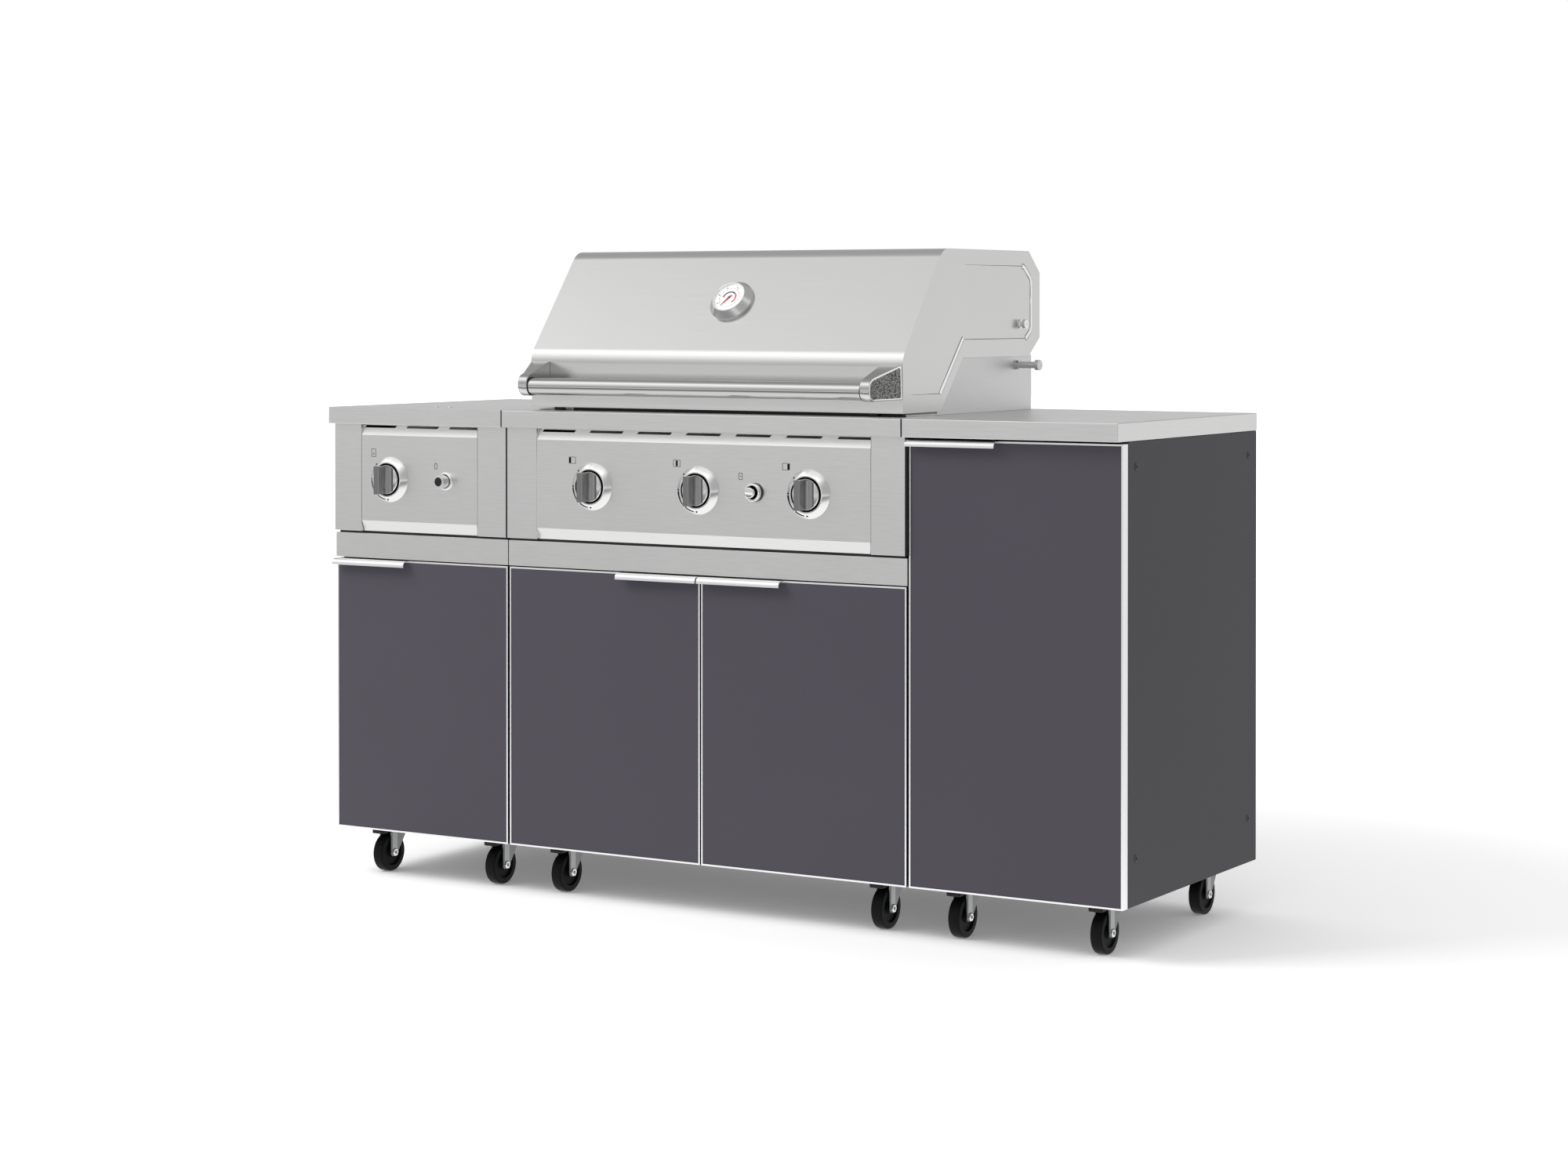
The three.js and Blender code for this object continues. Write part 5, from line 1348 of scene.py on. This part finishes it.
makePiece("side_burner_pipe", shape, "zinc", "island", "cast_iron", crease=40)
# painted shade: the side burner's ports are black plugs standing for the dark holes
shape = newShape()
half, inset = size["port"][0] / 2, size["port"][1]
block(shape, [radius + depth for depth in size["portDepth"]], (-half, half), (low + inset, high - inset))
repeated(
    "side_burner_ports", shape, ringTree, size["ports"], (0, 0, math.tau / size["ports"]), "black",
    (size["x"], size["y"], size["base"]), "island",
)
softened("side_burner_grate", "castIron", "island", softEdges["grate"])
# the solid's bolt ends stand back, inside the long bolts drawn with the hood
softened("firebox", "plateSteel", "island", softEdges["plate"], 1, moved={"x": softEdges["boltEnds"]})

# hexagon screws that hold the casters' plates
for label, x, y in casterPlaces():
    shape = newShape()
    for across in (-screwSize["x"], screwSize["x"]):
        turned(shape, screwSize["profile"], Matrix.Translation((across, 0, 0)), 6)
    repeated(
        label + "_plate_screws", shape, rowTree, 2, (0, screwSize["y"] * 2, 0), "zinc",
        (x, y - screwSize["y"], 0), "island", crease=20,
    )
print("inside done")

# floor, light and camera: ramps list (place, tone); the mirror ones are seen only by shiny faces
studio = {
    "floorSize": 60, "floorTone": 0.8, "floorWhite": 1.14, "underGlow": 0.145, "farGlow": 0.6, "near": 1.5,
    "far": 4.5, "mirrorReach": 16, "mirrorRear": 0.92, "rearFrom": -0.3, "rearTo": 1.2,
    "mirrorLeft": 0.28, "leftFrom": 0.5, "leftTo": 4.0, "leftSlant": 2,
    "mirror": [
        (0.0, 1.22), (0.085, 1.18), (0.135, 0.36), (0.25, 0.24), (0.33, 0.5), (0.4, 1.25), (0.6, 1.34),
        (0.85, 0.76), (1.0, 0.68),
    ],
    "frontSky": [
        (0.0, 0.64), (0.08, 0.63), (0.165, 0.72), (0.255, 0.85), (0.36, 1.05), (0.45, 1.25), (0.55, 1.44),
        (0.63, 1.68), (0.71, 1.86), (0.76, 1.45), (0.8, 1.13), (0.845, 1.02), (0.88, 0.99), (0.94, 0.97), (1.0, 1.0),
    ],
    "rearSky": [
        (0.0, 0.9), (0.08, 0.84), (0.15, 0.88), (0.24, 0.66), (0.4, 0.5), (0.65, 0.46), (0.85, 0.5), (1.0, 0.55),
    ],
    "skyLight": 0.72, "skyTurns": (-0.26, 0.0), "sideAcross": (0.1, 0.5), "sideDepth": (-0.35, -0.1), "sideTone": 0.5,
}
material, sheet = newFinish("studio_floor")
rays = sheet.add("ShaderNodeLightPath").socket.node.outputs
place = sheet.add("ShaderNodeTexCoord", output="Object")
reach = sheet.add("ShaderNodeVectorMath", {"operation": "LENGTH"}, {0: place}, output="Value")
glow = ranged(sheet, reach, studio["near"], studio["far"], studio["underGlow"], studio["farGlow"])
matte = sheet.add("ShaderNodeBsdfDiffuse", None, {0: grey(studio["floorTone"])})
bright = sheet.add("ShaderNodeBsdfDiffuse", None, {0: grey(studio["floorWhite"])})
haze = sheet.add("ShaderNodeEmission", None, {0: grey(1.0), 1: glow})
seen = sheet.add("ShaderNodeAddShader", None, {0: bright, 1: haze})
away = component(sheet, place, "Y")
behind = ranged(sheet, away, studio["rearFrom"], studio["rearTo"])
ahead = sheet.add("ShaderNodeValToRGB", {"stops": studio["mirror"]}, {0: away * (-1 / studio["mirrorReach"])})
# the floor far to the left stays dim in reflections, for the left flanks of round parts
leftward = component(sheet, place, "X") * -1 + away * studio["leftSlant"]
ahead = mixed(sheet, ranged(sheet, leftward, studio["leftFrom"], studio["leftTo"]), ahead, studio["mirrorLeft"])
reflected = mixed(sheet, behind, ahead, studio["mirrorRear"])
shiny = sheet.add("ShaderNodeEmission", None, {0: reflected, 1: 1.0})
inMetal = sheet.add("ShaderNodeMixShader", None, {0: Wire(sheet, rays["Is Glossy Ray"]), 1: matte, 2: shiny})
floorLook = sheet.add("ShaderNodeMixShader", None, {0: Wire(sheet, rays["Is Camera Ray"]), 1: inMetal, 2: seen})
sheet.add("ShaderNodeOutputMaterial", None, {0: floorLook})
half = studio["floorSize"] / 2
floorMesh = bpy.data.meshes.new("studio_floor")
floorMesh.from_pydata([(-half, -half, 0), (half, -half, 0), (half, half, 0), (-half, half, 0)], [], [(0, 1, 2, 3)])
floorMesh.materials.append(material)
floor = bpy.data.objects.new("studio_floor", floorMesh)
bpy.context.scene.collection.objects.link(floor)

world = bpy.data.worlds.new("studio")
bpy.context.scene.world = world
world.use_nodes = True
sheet = Sheet(world.node_tree)
direction = sheet.add("ShaderNodeTexCoord", output="Generated")
across, depth, height = (component(sheet, direction, axis) for axis in "XYZ")
ahead = sheet.add("ShaderNodeValToRGB", {"stops": studio["frontSky"]}, {0: height})
behind = sheet.add("ShaderNodeValToRGB", {"stops": studio["rearSky"]}, {0: height})
sidewise = ranged(sheet, across, *studio["sideAcross"]) * ranged(sheet, depth, *studio["sideDepth"], 1.0, 0.0)
dimmed = mixed(sheet, sidewise, ahead, studio["sideTone"])
gradient = mixed(sheet, ranged(sheet, depth, *studio["skyTurns"]), dimmed, behind)
rays = sheet.add("ShaderNodeLightPath").socket.node.outputs
glossy = Wire(sheet, rays["Is Glossy Ray"]) + Wire(sheet, rays["Is Transmission Ray"])
plain = sheet.add("ShaderNodeBackground", None, {0: grey(1.0), 1: studio["skyLight"]})
mirror = sheet.add("ShaderNodeBackground", None, {0: gradient, 1: 1.0})
white = sheet.add("ShaderNodeBackground", None, {0: grey(1.0), 1: 1.0})
inside = sheet.add("ShaderNodeMixShader", None, {0: glossy, 1: plain, 2: mirror})
outside = sheet.add("ShaderNodeMixShader", None, {0: Wire(sheet, rays["Is Camera Ray"]), 1: inside, 2: white})
sheet.add("ShaderNodeOutputWorld", None, {0: outside})

lamp = {"at": (-3.0, -3.2, 4.2), "aim": (0, 0, 0.5), "size": 2.6, "power": 140}
light = bpy.data.lights.new("key", "AREA")
light.energy = lamp["power"]
light.size = lamp["size"]
holder = bpy.data.objects.new("key", light)
holder.location = lamp["at"]
holder.visible_glossy = False  # steel mirrors the studio walls, not the lamp
holder.rotation_euler = (Vector(lamp["aim"]) - Vector(lamp["at"])).to_track_quat("-Z", "Y").to_euler()
bpy.context.scene.collection.objects.link(holder)

view = {
    "at": (3.1079, -5.1377, 1.1246), "yaw": 0.5416, "pitch": 0.0087, "focal": 72.03, "rise": -0.1621,
}
cameraData = bpy.data.cameras.new("photo_view")
cameraData.lens = view["focal"]
cameraData.sensor_width = 36
cameraData.shift_y = view["rise"]
cameraData.clip_end = 200
camera = bpy.data.objects.new("photo_view", cameraData)
camera.location = view["at"]
camera.rotation_euler = (math.pi / 2 - view["pitch"], 0, view["yaw"])
bpy.context.scene.collection.objects.link(camera)
bpy.context.scene.camera = camera
bpy.context.scene.view_settings.view_transform = "Standard"
print("stage done")
